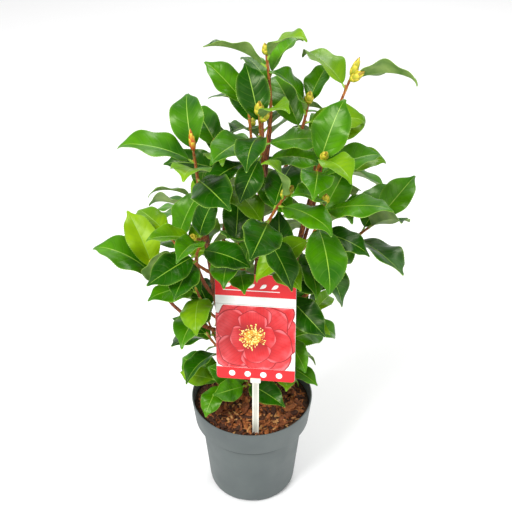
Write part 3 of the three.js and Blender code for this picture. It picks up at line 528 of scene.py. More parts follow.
def limb_posts(limbs, twigs, buds):
    """Points down the limbs and buds, their radius and the mass that owns them."""
    at, radius, owner = [], [], []
    for mass, limb in [(-1, each) for each in limbs.values()] + list(enumerate(twigs)):
        count = ceil(chord(limb["path"]) / POST_SPACING)
        t = np.arange(count + 1) / count
        at.append(point_on(limb["path"], t))
        radius.append(between(limb["start"], limb["end"], t))
        owner.append(np.full(count + 1, mass))
    for bud in buds:
        t = np.array(BUD["posts"])
        at.append(bud["base"] + bud["along"] * (bud["length"] * t)[:, None])
        radius.append(np.full(len(t), bud["radius"]))
        owner.append(np.full(len(t), bud["mass"]))
    return np.concatenate(at), np.concatenate(radius), np.concatenate(owner)


def clear_of_posts(leaf, at, radius, owner):
    """Whether a leaf's blade has room from every limb, and its stalk from all but its own."""
    own = owner == leaf["mass"]
    room = CLEAR["limb"] + radius - np.where(own, CLEAR["own_twig"], 0)
    near = ((at - leaf["middle"]) ** 2).sum(1) < (leaf["reach"] + room + 1) ** 2
    gaps = ((leaf["blade"][len(ACROSS):, None] - at[near][None]) ** 2).sum(2) ** 0.5
    if gaps.size and (gaps < room[near]).any():
        return False
    gaps = ((leaf["stalk_points"][:, None] - at[~own][None]) ** 2).sum(2) ** 0.5
    return bool((gaps >= CLEAR["stalk_to_limb"] + radius[~own]).all())


def clear_of_leaf(leaf, other):
    """Whether two leaves stand apart: blade from blade, and blade from the other's stalk."""
    apart = np.linalg.norm(leaf["middle"] - other["middle"])
    if apart > leaf["reach"] + other["reach"] + 2 * CLEAR["leaf"]:
        return True
    same, near = leaf["mass"] == other["mass"], len(ACROSS)
    room = CLEAR["same_mass"] if same else CLEAR["leaf"]
    if least(leaf["blade"][near:], other["blade"]) < room:
        return False
    if least(leaf["blade"][:near], other["blade"]) < CLEAR["stalk"]:
        return False
    return same or (least(leaf["stalk_points"], other["blade"]) >= CLEAR["stalk_to_leaf"]
                    and least(other["stalk_points"], leaf["blade"]) >= CLEAR["stalk_to_leaf"])


def place_leaf(wish, posts, placed):
    """The first of a leaf's tries that is clear of the pot, label, limbs and leaves."""
    s, v = np.repeat(STATIONS, len(ACROSS)), np.tile(ACROSS, len(STATIONS))
    for attempt in TRIES:
        leaf = pose(wish, *attempt)
        blade = blade_points(leaf, s, v)
        if leaves_its_space(blade) or meets_card(blade):
            continue
        leaf["blade"], leaf["middle"] = blade, blade.mean(0)
        leaf["stalk_points"] = np.array([leaf["base"], (leaf["base"] + leaf["root"]) / 2])
        leaf["reach"] = np.linalg.norm(blade - leaf["middle"], axis=1).max()
        if clear_of_posts(leaf, *posts) and all(clear_of_leaf(leaf, other) for other in placed):
            return leaf
    return None


def grow_plant():
    """Limbs, twigs, the leaves that found room, and buds: each mass in turn places one leaf."""
    limbs = grow_limbs()
    twigs = [grow_twig(limbs, row) for row in MASSES]
    wishes = [grow_leaves(twigs[mass], mass, row) for mass, row in enumerate(MASSES)]
    buds = [bud for mass, row in enumerate(MASSES) for bud in grow_buds(twigs[mass], mass, row)]
    posts, placed = limb_posts(limbs, twigs, buds), []
    for k in range(max(len(own) for own in wishes)):
        for own in wishes:
            leaf = place_leaf(own[k], posts, placed) if k < len(own) else None
            if leaf:
                placed.append(leaf)
    for twig, own in zip(twigs, wishes):
        twig["nodes"] = [wish["share"] for wish in own]
    return limbs, twigs, placed, buds


# ---------- meshes

def tube_faces(tubes, rings, sides):
    """Faces of closed tubes, each a start point, rings of sides points and an end point."""
    first = np.arange(tubes)[:, None, None] * (rings * sides + 2)
    r, k = np.arange(rings - 1)[None, :, None], np.arange(sides)[None, None, :]
    after = (k + 1) % sides
    low, high = first + 1 + r * sides, first + 1 + (r + 1) * sides
    quads = np.stack(np.broadcast_arrays(low + k, low + after, high + after, high + k), -1)
    start, k1, after1 = first[:, :, 0], k[0], after[0]
    end = start + 1 + (rings - 1) * sides
    front = np.stack(np.broadcast_arrays(start, start + 1 + after1, start + 1 + k1), -1)
    back = np.stack(np.broadcast_arrays(start + rings * sides + 1, end + k1, end + after1), -1)
    return quads, front, back


def inside_box(points):
    """Points in mm that don't pass the solids' box: where some would, the last SQUEEZE mm before
    that face are drawn in by one share."""
    low, high = np.array(CAD_BOX) / MM
    for sign, limit in ((1, high), (-1, low)):
        past = np.maximum((points * sign).max(0) - limit * sign, 0)
        over = np.maximum(points * sign - (limit * sign - SQUEEZE), 0)
        points = points - sign * over * past / (SQUEEZE + past)
    return points


def join_tubes(groups):
    """Several sets of tubes as one list of points, faces, looks and coordinates. Each group is
    (points of its tubes, rings, sides, material number, coordinates or None)."""
    points, quads, ends, looks, end_looks, uvs, count = [], [], [], [], [], [], 0
    for tubes, rings, sides, look, uv in groups:
        body, front, back = tube_faces(len(tubes), rings, sides)
        points.append(tubes.reshape(-1, 3))
        quads.append(body.reshape(-1, 4) + count)
        ends += [front.reshape(-1, 3) + count, back.reshape(-1, 3) + count]
        looks.append(np.full(len(quads[-1]), look))
        end_looks.append(np.full(2 * len(tubes) * sides, look))
        uvs.append(np.zeros((len(points[-1]), 2)) if uv is None else uv.reshape(-1, 2))
        count += len(points[-1])
    return np.concatenate(points), quads + ends, looks + end_looks, np.concatenate(uvs)


def make_piece(name, groups, materials, replaces, looks=None):
    """One smooth mesh on the root body, from groups of tubes in mm. looks gives the material
    number of each face where it isn't the group's own."""
    points, faces, numbers, uv = join_tubes(groups)
    if not len(points):
        raise RuntimeError(f"{name} has no shape")
    points = (inside_box(points) * MM).astype(np.float32)
    faces = [each.reshape(-1, each.shape[-1]) for each in faces]
    corners = np.concatenate([each.ravel() for each in faces]).astype(np.int32)
    sizes = np.concatenate([np.full(len(each), each.shape[1]) for each in faces])
    mesh = bpy.data.meshes.new(name)
    mesh.vertices.add(len(points))
    mesh.vertices.foreach_set("co", points.ravel())
    mesh.loops.add(len(corners))
    mesh.loops.foreach_set("vertex_index", corners)
    mesh.polygons.add(len(sizes))
    mesh.polygons.foreach_set("loop_start", np.append(0, np.cumsum(sizes)[:-1]).astype(np.int32))
    mesh.polygons.foreach_set("use_smooth", np.ones(len(sizes), bool))
    for material in materials:
        mesh.materials.append(material)
    numbers = np.concatenate(looks or numbers).astype(np.int32)
    mesh.polygons.foreach_set("material_index", numbers)
    if any(group[4] is not None for group in groups):
        layer = mesh.uv_layers.new(name="surface")
        layer.uv.foreach_set("vector", uv.astype(np.float32)[corners].ravel())
    mesh.update(calc_edges=True)
    mesh.validate()
    piece = bpy.data.objects.new(name, mesh)
    bpy.context.scene.collection.objects.link(piece)
    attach(piece, "root")
    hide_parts(*replaces)


def side_axes(direction):
    """Two unit vectors square to each direction, so that first, second, direction turn right."""
    helper = np.where(np.abs(direction[..., 2:3]) < 0.9, UP, np.array([1.0, 0, 0]))
    first = unit(helper - direction * (helper * direction).sum(-1, keepdims=True))
    return first, np.cross(direction, first)


def limb_tube(path, radius, sides, relief=None):
    """A tube along a path: at share t a circle of radius(t), swollen by relief(angle, t)."""
    t = np.linspace(0, 1, len(radius))
    centre, direction = point_on(path, t), slope_on(path, t)
    side = side_axes(direction[0])[0]
    across = unit(side - direction * (direction @ side)[:, None])
    up = np.cross(direction, across)
    angle = circle(sides)
    swell = 1 if relief is None else relief(angle[None, :], t[:, None])
    size = radius[:, None] * swell * np.ones(sides)
    rings = (centre[:, None] + across[:, None] * (size * np.cos(angle))[..., None]
             + up[:, None] * (size * np.sin(angle))[..., None])
    return np.concatenate([centre[:1], rings.reshape(-1, 3), centre[-1:]])


def closed(first, rings, last):
    """Tubes as lists of points: each a start point, the points of its rings and an end point."""
    return np.concatenate([first[:, None], rings.reshape(len(rings), -1, 3), last[:, None]], 1)


def coordinates(along, across, count):
    """Shares along and across for the points of count tubes; both ends lie half way across."""
    uv = np.stack(np.broadcast_arrays(along[:, None], across[None, :]), -1).reshape(-1, 2)
    uv = np.concatenate([[[0, 0.5]], uv, [[1, 0.5]]])
    return np.broadcast_to(uv, (count,) + uv.shape)


def columns(items, keys, axes):
    """The items' values of each key as one array, with that many axes put after the first."""
    return [np.array([item[key] for item in items])[(slice(None),) + (None,) * axes] for key in keys]


# ---------- shapes of the plant

def blade_width(s):
    """The solids' outline, a little fuller at the belly and drawn out to a narrow tip."""
    tip = 1 - NARROW_TIP["share"] * bell(s, NARROW_TIP["at"], NARROW_TIP["over"])
    return outline(s) * tip * (1 + BELLY["share"] * bell(s, BELLY["at"], BELLY["over"]))


def blade_spines(leaves, s, looks):
    """Midribs of every blade at the shares s, with the directions across the blade and out of
    it. A midrib is the sum of short steps whose angle grows as droop times s, and faster near
    the tip, and the blade twists about it in step with s."""
    base, along, face, side = columns(leaves, ("base", "along", "face", "side"), 1)
    length, droop, tone = columns(leaves, ("length", "droop", "tone"), 1)
    curl_from = BLADE["curl_from"]
    curl = looks.tip_curl * tone * np.clip((s - curl_from) / (1 - curl_from), 0, 1) ** 2
    angle = droop * s + curl
    steps = (angle[:, 1:] + angle[:, :-1]) / 2
    none = np.zeros((len(leaves), 1))
    out, down = (length * np.concatenate([none, np.cumsum(part(steps), 1)], 1) / (len(s) - 1)
                 for part in (np.cos, np.sin))
    spine = base + along * out[..., None] - face * down[..., None]
    normal = along * np.sin(angle)[..., None] + face * np.cos(angle)[..., None]
    twist = (looks.blade_twist * (2 * tone - 1) * s)[..., None]
    across = side * np.cos(twist) + normal * np.sin(twist)
    normal = normal * np.cos(twist) - side * np.sin(twist)
    return spine[:, :, None], across[:, :, None], normal[:, :, None]


def blade_rings(leaves, s, looks):
    """Rings across every blade: the upper side from margin to margin and back underneath. The
    halves rise as width times (|v| sin fold - cup v^2 + a wave). The blade is thickest at the
    midrib, with a groove above and a ridge below, and every second ring is a little narrower,
    which makes the teeth."""
    spine, across, normal = blade_spines(leaves, s, looks)
    half, = columns(leaves, ("half",), 1)
    fold, tone = columns(leaves, ("fold", "tone"), 2)
    stalk = BLADE["stalk_radius"] * np.exp(-BLADE["stalk_fade"] * s)
    width = np.hypot(half * blade_width(s), stalk)[..., None]
    v, s = BLADE_V, s[:, None]
    notch = 1 - looks.tooth_depth * (np.abs(v) == 1) * (np.arange(len(s)) % 2)[:, None]
    wave = np.sin(2 * pi * (BLADE["waves"] * s + 5 * tone)) * np.abs(v) ** 1.5
    rise = width * (np.abs(v) * np.sin(fold) - LEAF["cup"] * v * v + looks.margin_wave * wave)
    middle = spine + across * (v * notch * width * np.cos(fold))[..., None] + normal * rise[..., None]
    thick = between(BLADE["edge_thick"], BLADE["rib_thick"], (1 - np.abs(v)) ** 1.5)
    rib = (np.abs(v) < BLADE["rib_half"]) * (1 - s) ** BLADE["rib_fade"]
    upper = middle + normal * (thick / 2 - BLADE["rib_groove"] * rib)[..., None]
    under = middle - normal * (thick / 2 + BLADE["rib_ridge"] * rib)[..., None]
    return np.concatenate([upper, under[:, :, ::-1]], 2), middle[:, -1].mean(1)


def stalk_rings(leaves):
    """Rings of every round stalk, which starts a little sunk in the twig and tapers outwards."""
    root, base, along, face, side = columns(leaves, ("root", "base", "along", "face", "side"), 1)
    far = np.linspace(0, 1, BLADE["stalk_rings"], endpoint=False)[None, :, None]
    centre = root - along * BLADE["sink"] * (1 - far) + (base - root) * far
    half_turn = np.linspace(BLADE["seam"], 1 - BLADE["seam"], len(BLADE_V))
    turn = np.concatenate([half_turn, half_turn + 1])[:, None] * pi
    radius = BLADE["stalk_radius"] * between(BLADE["stalk_foot"], 1, far)[..., None]
    ring = side[:, :, None] * np.cos(turn) + face[:, :, None] * np.sin(turn)
    return centre[:, :, None] + radius * ring, centre[:, 0]


def leaf_tubes(leaves, looks):
    """Every leaf as one closed tube, its stalk and then its blade, with coordinates along the
    blade and across it."""
    s = np.linspace(0, 1, looks.blade_stations + 1)
    stalks, feet = stalk_rings(leaves)
    blades, tips = blade_rings(leaves, s, looks)
    rings = np.concatenate([stalks, blades[:, :-1]], 1)
    along = np.concatenate([np.zeros(BLADE["stalk_rings"]), s[:-1]])
    across = (np.concatenate([BLADE_V, BLADE_V[::-1]]) + 1) / 2
    points = closed(feet, rings, tips)
    return points, rings.shape[1], rings.shape[2], coordinates(along, across, len(leaves))


def leaf_looks(leaves, rings, sides):
    """Material numbers of the leaves' faces: an upper side by the leaf's age, the underside,
    and one for stalk, margins and midrib."""
    strips = len(BLADE_V) - 1
    side = np.arange(sides)
    edge = np.isin(side % (strips + 1), (strips, strips // 2)) | np.isin(side, (0, strips - 1))
    ages = np.array([leaf_age(leaf) for leaf in leaves])[:, None, None]
    looks = np.where(edge, MIDRIB, np.where(side < strips, ages, UNDERSIDE))
    looks = looks * np.ones((1, rings - 1, 1), int)
    looks[:, :BLADE["stalk_rings"]] = MIDRIB
    return [looks.ravel(), np.full(2 * len(leaves) * sides, MIDRIB)]


def leaf_age(leaf):
    """0 to 3 from the darkest blade to the youngest: leaves near a tip are younger."""
    if (MASSES[leaf["mass"]][0], leaf["rank"]) in YOUNG_LEAVES:
        return 3
    fresh = leaf["tone"] + (FRESH_FROM["first_leaf"] if leaf["rank"] == 0 else 0)
    return int(fresh >= FRESH_FROM["mid"]) + int(fresh >= FRESH_FROM["fresh"])


def bud_profile(t):
    """A bud's girth from 0 at its base to 0 at its pointed tip, widest below the middle."""
    return np.sin(pi * np.clip(t, 0, 1) ** 0.74) ** 0.8


def bud_bodies(buds, rings, sides, look):
    """Closed bodies of revolution: radius times bud_profile along each bud's axis."""
    base, along = columns(buds, ("base", "along"), 2)
    length, radius = columns(buds, ("length", "radius"), 3)
    first, second = side_axes(along)
    t = ((np.arange(rings) + 0.5) / rings)[:, None, None]
    angle = circle(sides)[:, None]
    ring = (first * np.cos(angle) + second * np.sin(angle)) * (radius * bud_profile(t))
    low, high = (base - along * 0.5)[:, 0, 0], (base + along * length)[:, 0, 0]
    return closed(low, base + along * length * t + ring, high), rings, sides, look, None


def bud_scales(buds, look):
    """Overlapping scales of every bud, each a thin closed shell on the bud's profile: it covers
    half_angle to either side at its foot and narrows as the root of 1 - u^2.4 to its tip."""
    size, count = BUD_SCALES, BUD_SCALES["count"]
    base, along = columns(buds, ("base", "along"), 3)
    length, radius = columns(buds, ("length", "radius"), 4)
    first, second = side_axes(along)
    number = np.arange(count)[:, None, None, None]
    u = (np.arange(size["rings"]) + 0.3) / size["rings"]
    a = np.linspace(-1, 1, size["across"])
    a = np.concatenate([a, a[::-1]])
    uv = coordinates(u, a / 2 + 0.5, len(buds) * count)
    u, a, outer = u[:, None, None], a[:, None], (np.arange(len(a)) < size["across"])[:, None]
    foot = size["step"] * number
    tip = np.minimum(size["first_end"] + size["end_step"] * number, size["last_end"])
    t = between(foot, tip, u)
    turn = size["bud_turn"] * np.arange(len(buds))[:, None, None, None, None] + size["turn"] * number
    angle = np.radians(turn + a * size["half_angle"] * (1 - u ** 2.4) ** 0.5)
    layer = 1 + size["lift"] * (count - number)
    girth = radius * (bud_profile(t) * layer + size["flare"] * u ** 2)
    girth = girth + size["clear"] + size["thick"] * outer * (1 - 0.6 * np.abs(a))
    shells = base + along * length * t + (first * np.cos(angle) + second * np.sin(angle)) * girth
    shells = shells.reshape(len(buds) * count, size["rings"], len(a), 3)
    return closed(shells[:, 0].mean(1), shells, shells[:, -1].mean(1)), size["rings"], len(a), look, uv


def slender_buds(buds):
    """The solids' buds, none fatter than BUD_MOST, and thinner again where they are long."""
    return [dict(bud, radius=min(bud["radius"], BUD_MOST)
                 * min(1, SLENDER["from"] / bud["length"]) ** SLENDER["power"]) for bud in buds]


def small_buds(leaves, twigs):
    """A small bud in each leaf's axil, and one on each twig that has no flower bud."""
    small = [{"base": leaf["root"] + leaf["along"] * AXIL_BUD["up_stalk"],
              "along": unit(leaf["axis"] + leaf["along"] * AXIL_BUD["lean"]),
              "length": AXIL_BUD["length"], "radius": AXIL_BUD["radius"]} for leaf in leaves]
    for twig, row in zip(twigs, MASSES):
        if not row[8]:
            forward = slope_on(twig["path"], 1)
            small.append({"base": twig["path"][2] - forward * BARE_TIP_BUD["sunk"], "along": forward,
                          "length": BARE_TIP_BUD["length"], "radius": BARE_TIP_BUD["radius"]})
    return small


def twig_tubes(twigs):
    """Twigs as tapering tubes that swell where each leaf or leaf scar stands."""
    t, tubes = np.linspace(0, 1, TWIG_RINGS), []
    for twig in twigs:
        at, length = np.array(twig["nodes"])[:, None], chord(twig["path"])
        knots = bell(t * length, at * length, TWIG_KNOT["over"]).sum(0)
        radius = between(twig["start"], twig["end"], t) * (TWIG_KNOT["bark"] + TWIG_KNOT["swell"] * knots)
        tubes.append(limb_tube(twig["path"], radius, TWIG_SIDES))
    return np.array(tubes), TWIG_RINGS, TWIG_SIDES, 0, None


def bark_relief(depth, seed):
    """Shallow long ridges that wander round a limb, crossed by finer wrinkles and a few knots:
    sums of sines of the angle and of the share along the limb."""
    def relief(angle, t):
        """The share by which the radius swells at an angle and a share along."""
        drift = 2.2 * np.sin(9 * t + seed) + 0.8 * np.sin(31 * t + 2 * seed)
        ridges = np.sin(5 * angle + drift) + 0.6 * np.sin(9 * angle - 1.7 * drift + seed)
        wrinkles = np.sin(170 * t + 3 * np.sin(2 * angle + seed)) * np.sin(3 * angle + 40 * t)
        knots = bell(np.sin(11 * t * pi + seed), 0, 0.16) * (1 + np.cos(angle - 7 * seed - 25 * t))
        return 1 + depth * (0.5 * ridges + 0.3 * wrinkles + 1.2 * knots)
    return relief


def limb_tubes(limbs, rings, sides, depth, flared):
    """Tapering limbs with bark relief; a flared one widens into its root as the square of how
    far it is below the flare's height."""
    t, tubes = np.linspace(0, 1, rings), []
    for number, limb in enumerate(limbs):
        height = (limb["path"][2][2] - limb["path"][0][2]) * t
        flare = FLARE["growth"] * np.maximum(0, 1 - height / FLARE["height"]) ** 2 if flared else 0
        radius = between(limb["start"], limb["end"], t) * (1 + flare)
        tubes.append(limb_tube(limb["path"], radius, sides, bark_relief(depth, number + 1)))
    return np.array(tubes), rings, sides, 0, None


# ---------- shapes of the pot and soil

def inner_radius(z):
    """Inside radius of the pot at a height: two straight tapers that meet at the band's foot."""
    share = np.minimum(1, (z - POT["foot_round"]) / (POT["band_bottom"] - POT["foot_round"]))
    body = between(POT["body_bottom_radius"], POT["step_radius"], share)
    band = (z - POT["band_bottom"]) / (POT["height"] - POT["band_bottom"])
    wide = between(POT["band_radius"], POT["rim_radius"], band)
    return np.where(z <= POT["band_bottom"], body, wide) - POT["wall"]


def rounded(profile, radius, steps=5):
    """A polyline with its corners replaced by short quadratic curves."""
    profile, out = np.array(profile, float), []
    for before, corner, after in zip(profile, profile[1:], profile[2:]):
        cut = [min(radius, 0.45 * np.linalg.norm(end - corner)) for end in (before, after)]
        path = (corner + unit(before - corner) * cut[0], corner, corner + unit(after - corner) * cut[1])
        out.append(point_on(path, np.linspace(0, 1, steps)))
    return np.concatenate([profile[:1]] + out + [profile[-1:]])


def lathe(profile, sides):
    """A profile of (radius, height) turned round Z; its ends lie on the axis."""
    profile = np.array(profile)
    angle = circle(sides)
    r, z = profile[1:-1, :1], profile[1:-1, 1:] * np.ones(sides)
    rings = np.stack([r * np.cos(angle), r * np.sin(angle), z], -1)
    ends = [[0, 0, profile[0, 1]]], [[0, 0, profile[-1, 1]]]
    return np.concatenate([ends[0], rings.reshape(-1, 3), ends[1]])[None], len(rings), sides


def pot_tube(sides):
    """The pot's turned wall; its foot is lifted to the notches' height inside each notch."""
    foot, corner = POT["foot_radius"], POT["foot_radius"] + POT_FOOT["corner_out"]
    step, ledge, rim = POT["band_bottom"], POT["band_bottom"] + POT_RIM["ledge"], POT["height"]
    inside, lip = corner - POT["notch_depth"], POT_FOOT["notch_step"]
    outer = [(0, 0), (inside - lip, 0), (inside + lip, 0), (foot, 0), (corner, POT_FOOT["corner_up"]),
             (foot + POT_FOOT["wall_out"], POT_FOOT["wall_up"]),
             (POT["body_bottom_radius"], POT["foot_round"]),
             *((inner_radius(z) + POT["wall"] - deep, z) for z, deep in POT_LINE),
             (POT["step_radius"], step - POT_RIM["drop"]), (POT["band_radius"], step),
             (POT["rim_radius"], rim - POT_RIM["drop"]), (POT["rim_radius"] - POT_RIM["round"], rim)]
    inner = [(inner_radius(z), z) for z in (rim, ledge, step, POT["foot_round"])]
    inner += [(foot - POT["wall"] - POT_FOOT["floor_inside"], POT["floor"]), (0, POT["floor"])]
    points, rings, sides = lathe(rounded(outer + inner, POT_RIM["edges"]), sides)
    x, y, z = points[0].T
    angle, r = np.degrees(np.arctan2(y, x)), np.hypot(x, y)
    spacing = 360 / POT["notches"]
    off = (angle - POT["first_notch"] + spacing / 2) % spacing - spacing / 2
    across = np.abs(r * np.sin(np.radians(off)))
    notched = (across < POT["notch_width"] / 2) & (r > inside) & (z < POT["notch_height"])
    points[0, :, 2] = np.where(notched, POT["notch_height"], z)
    return points, rings, sides, 0, None


def soil_height(x, y):
    """Low lumps of the soil's top: a sum of crossed sines."""
    return (0.8 * np.sin(0.21 * x + 1) * np.cos(0.19 * y) + 0.5 * np.sin(0.47 * x + 0.31 * y)
            + 0.3 * np.cos(0.83 * y - 0.6 * x))


def soil_tube():
    """The soil inside the pot's wall: its top drops at the edge and bears low lumps."""
    step, rings, drop = POT["band_bottom"], SOIL["rings"], SOIL["edge_drop"]
    heights = [(inner_radius(z) - 2 * GAP, z) for z in (SOIL["low"], step, *SOIL["heights"])]
    heights.insert(2, (heights[1][0], step + SOIL["ledge"]))
    bottom, edge = POT["floor"] + GAP, heights[-1][0]
    profile = [(0, bottom), (POT["foot_radius"] - SOIL["foot_inside"], bottom)] + heights
    profile += [(edge * (1 - k / rings), SOIL_TOP - drop * smooth(1 - k / SOIL["edge_rings"]))
                for k in range(1, rings)]
    points, rings, sides = lathe(profile + [(0, SOIL_TOP)], SOIL["sides"])
    x, y, z = points[0].T
    lumps = soil_height(x, y) * smooth((z - SOIL["lumps_from"]) / SOIL["lumps_over"])
    points[0, :, 2] += lumps - SOIL["sunk"] * (z > SOIL["lumps_from"])
    return points, rings, sides, 0, None


def bark_chips(count):
    """Flat bark chips strewn on the soil, each three rough rings of five points, longer than
    wide, laid nearly level; seeded draws give place, size and turn. They are returned in
    groups, one for each kind of chip."""
    size, draw = CHIPS, np.random.default_rng(CHIPS["seed"])
    length = size["shortest"] + size["growth"] * draw.random(count) ** 2
    reach = inner_radius(SOIL_TOP) - size["wall"] - length
    r, place = reach * draw.random(count) ** 0.5, 2 * pi * draw.random(count)
    x, y = r * np.cos(place), r * np.sin(place)
    z = SOIL_TOP + soil_height(x, y) - size["sunk"] + size["heap"] * draw.random(count)
    z = z - size["edge_drop"] * smooth((r - size["edge_from"]) / size["edge_over"])
    along = unit(draw.normal(size=(3, count)).T * (1, 1, size["tilt"]))
    up = np.append(draw.normal(size=(2, count)) * size["roll"], np.ones((1, count)), 0).T
    up = unit(square_all(up, along))
    side = np.cross(up, along)
    width = length * (size["slimmest"] + size["wider"] * draw.random(count))
    thick = size["thinnest"] + size["thicker"] * draw.random(count)
    rough = size["rough"][0] + size["rough"][1] * draw.random((count, len(size["along"]), size["sides"]))
    girth = np.array(size["girth"])[:, None] * rough
    angle = circle(size["sides"])
    across = (girth * width[:, None, None] * np.cos(angle))[..., None]
    through = (girth * thick[:, None, None] * np.sin(angle))[..., None]
    centre, reach = np.stack([x, y, z], 1), along * length[:, None]
    rings = (centre[:, None, None] + reach[:, None, None] * np.array(size["along"])[:, None, None]
             + side[:, None, None] * across + up[:, None, None] * through)
    chips = closed(centre - reach, rings, centre + reach)
    kinds = np.searchsorted(np.cumsum(CHIP_SHARES), draw.random(count))
    return [(chips[kinds == kind], len(size["along"]), size["sides"], kind, None)
            for kind in range(len(CHIP_SHARES))]


def fibres(count):
    """Thin curved threads of bark fibre on the soil, each at a seeded place, length and turn."""
    draw, tubes = np.random.default_rng(FIBRE["seed"]), []
    radius = np.full(FIBRE["rings"], FIBRE["radius"])
    for _ in range(count):
        length = FIBRE["shortest"] + FIBRE["growth"] * draw.random()
        r, place = FIBRE["reach"] * draw.random() ** 0.5, 2 * pi * draw.random()
        turn = 360 * draw.random()
        start = np.array([r * cos(place), r * sin(place), SOIL_TOP + FIBRE["lift"] + draw.random()])
        end = start + heading(turn) * length * FIBRE["span"]
        off = heading(turn + 90) * length * (draw.random() - 0.5)
        bow = (start + end) / 2 + off + UP * FIBRE["bow"]
        tubes.append(limb_tube((start, bow, end), radius, FIBRE["sides"]))
    return np.array(tubes), FIBRE["rings"], FIBRE["sides"], FIBRE["colour"], None


# ---------- shapes of the label

def on_card(xy, height):
    """Points given across and up the card, and out of it, set in their place."""
    return CARD_FOOT + CARD_RIGHT * xy[:, :1] + CARD_UP * xy[:, 1:] + CARD_OUT * height


def rounded_rectangle(x0, y0, x1, y1, low, high, steps=7):
    """Outline of a rectangle, with one corner radius below and one above."""
    corners = [(x1, y0, -1, 1, low, -90), (x1, y1, -1, -1, high, 0),
               (x0, y1, 1, -1, high, 90), (x0, y0, 1, 1, low, 180)]
    out = []
    for x, y, across, up, radius, start in corners:
        turn = np.radians(np.linspace(start, start + 90, steps))
        out.append(np.stack([x + radius * (across + np.cos(turn)), y + radius * (up + np.sin(turn))], 1))
    return np.concatenate(out)


def square_about(half, corner, squash=1, steps=7):
    """A rounded square about the origin, from -half to half, its height times squash."""
    return rounded_rectangle(-half, -half * squash, half, half * squash, corner, corner, steps)


def plate_levels(low, high, shrink, rings):
    """Share and height of each ring of a plate: its wall, then rings drawn in to its middle."""
    below, above = (high - low) * PLATE_EDGE[0], (high - low) * PLATE_EDGE[1]
    wall = [(1 - shrink, low), (1, low + below), (1, high - above)]
    return wall + [((1 - shrink) * (1 - k / rings), high) for k in range(rings)]


def plate(edge, low, high, shrink=0.0, rings=1):
    """A closed flat body over an outline on the card, from the height low to high."""
    middle, levels = edge.mean(0), plate_levels(low, high, shrink, rings)
    tube = [on_card(middle[None], low)]
    tube += [on_card(middle + (edge - middle) * share, height) for share, height in levels]
    tube.append(on_card(middle[None], high))
    return np.concatenate(tube)[None], len(levels), len(edge)


def plate_shares(edge, length, width, shrink, rings):
    """Share along a petal and across it, for each point that plate makes from its outline."""
    middle, levels = edge.mean(0), plate_levels(0, 1, shrink, rings)
    points = [middle[None]] + [middle + (edge - middle) * share for share, _ in levels] + [middle[None]]
    return (np.concatenate(points) / (length, width) + (0, 0.5))[None]


def petal_outline(length, width, points=26, ruffle=0.0, turn=0.0):
    """A petal or leaf lying along +X: half its width times a skewed sine of the share along,
    with waves of the height ruffle that start at the angle turn."""
    t = np.linspace(0, 1, points // 2 + 1)
    half = width / 2 * np.sin(pi * t ** 1.3) ** 0.7
    there = np.stack([t * length, -half], 1)
    back = np.stack([t * length, half], 1)[::-1][1:-1]
    whole = np.concatenate([there, back])
    middle = whole.mean(0)
    around = circle(len(whole))
    waves = 1 + ruffle * (np.sin(3 * around + turn) + 0.6 * np.sin(7 * around + 2 * turn))
    return middle + (whole - middle) * waves[:, None]


def turned_xy(xy, degrees, x, y):
    """Points turned by an angle about the origin and moved by x and y."""
    a = radians(degrees)
    return xy @ np.array([[cos(a), sin(a)], [-sin(a), cos(a)]]) + np.array([x, y])


def inlay(edge, layer, look, uv=None, rings=1):
    """A thin printed layer as a group of tubes: the higher its layer, the more it stands out."""
    front = LABEL["thick"] / 2
    tube = plate(edge, front - PRINT["sunk"], front + PRINT["ink"] * layer, PRINT["shrink"], rings)
    return (*tube, look, uv)


def print_bands():
    """The header with its row of leaf marks and rule, the line below it, and the foot's discs."""
    inset, end, marks = PRINT["inset"], PRINT["square"], LEAF_MARKS
    w, h, r = LABEL["width"] / 2 - inset, LABEL["height"] - inset, LABEL["corner"] - inset
    leaf = turned_xy(petal_outline(marks["length"], marks["width"]), marks["turn"], 0, marks["up"])
    disc = square_about(DISCS["radius"], DISCS["radius"] - end)
    yield inlay(rounded_rectangle(-w, PRINT["header"], w, h, end, r), 1, RED)
    yield inlay(rounded_rectangle(-w, inset, w, PRINT["foot"], r, end), 1, RED)
    low, high = PRINT["line"], PRINT["line"] + PRINT["line_thick"]
    yield inlay(rounded_rectangle(-w, low, w, high, end, end), 1, GREY)
    for k in range(marks["count"]):
        yield inlay(leaf + (marks["first"] + marks["step"] * k, 0), 2, WHITE)
    yield inlay(rounded_rectangle(*RULE, RULE[-1]), 2, WHITE)
    for k in range(DISCS["count"]):
        yield inlay(disc + (DISCS["first"] + DISCS["step"] * k, PRINT["foot"] / 2), 2, WHITE)


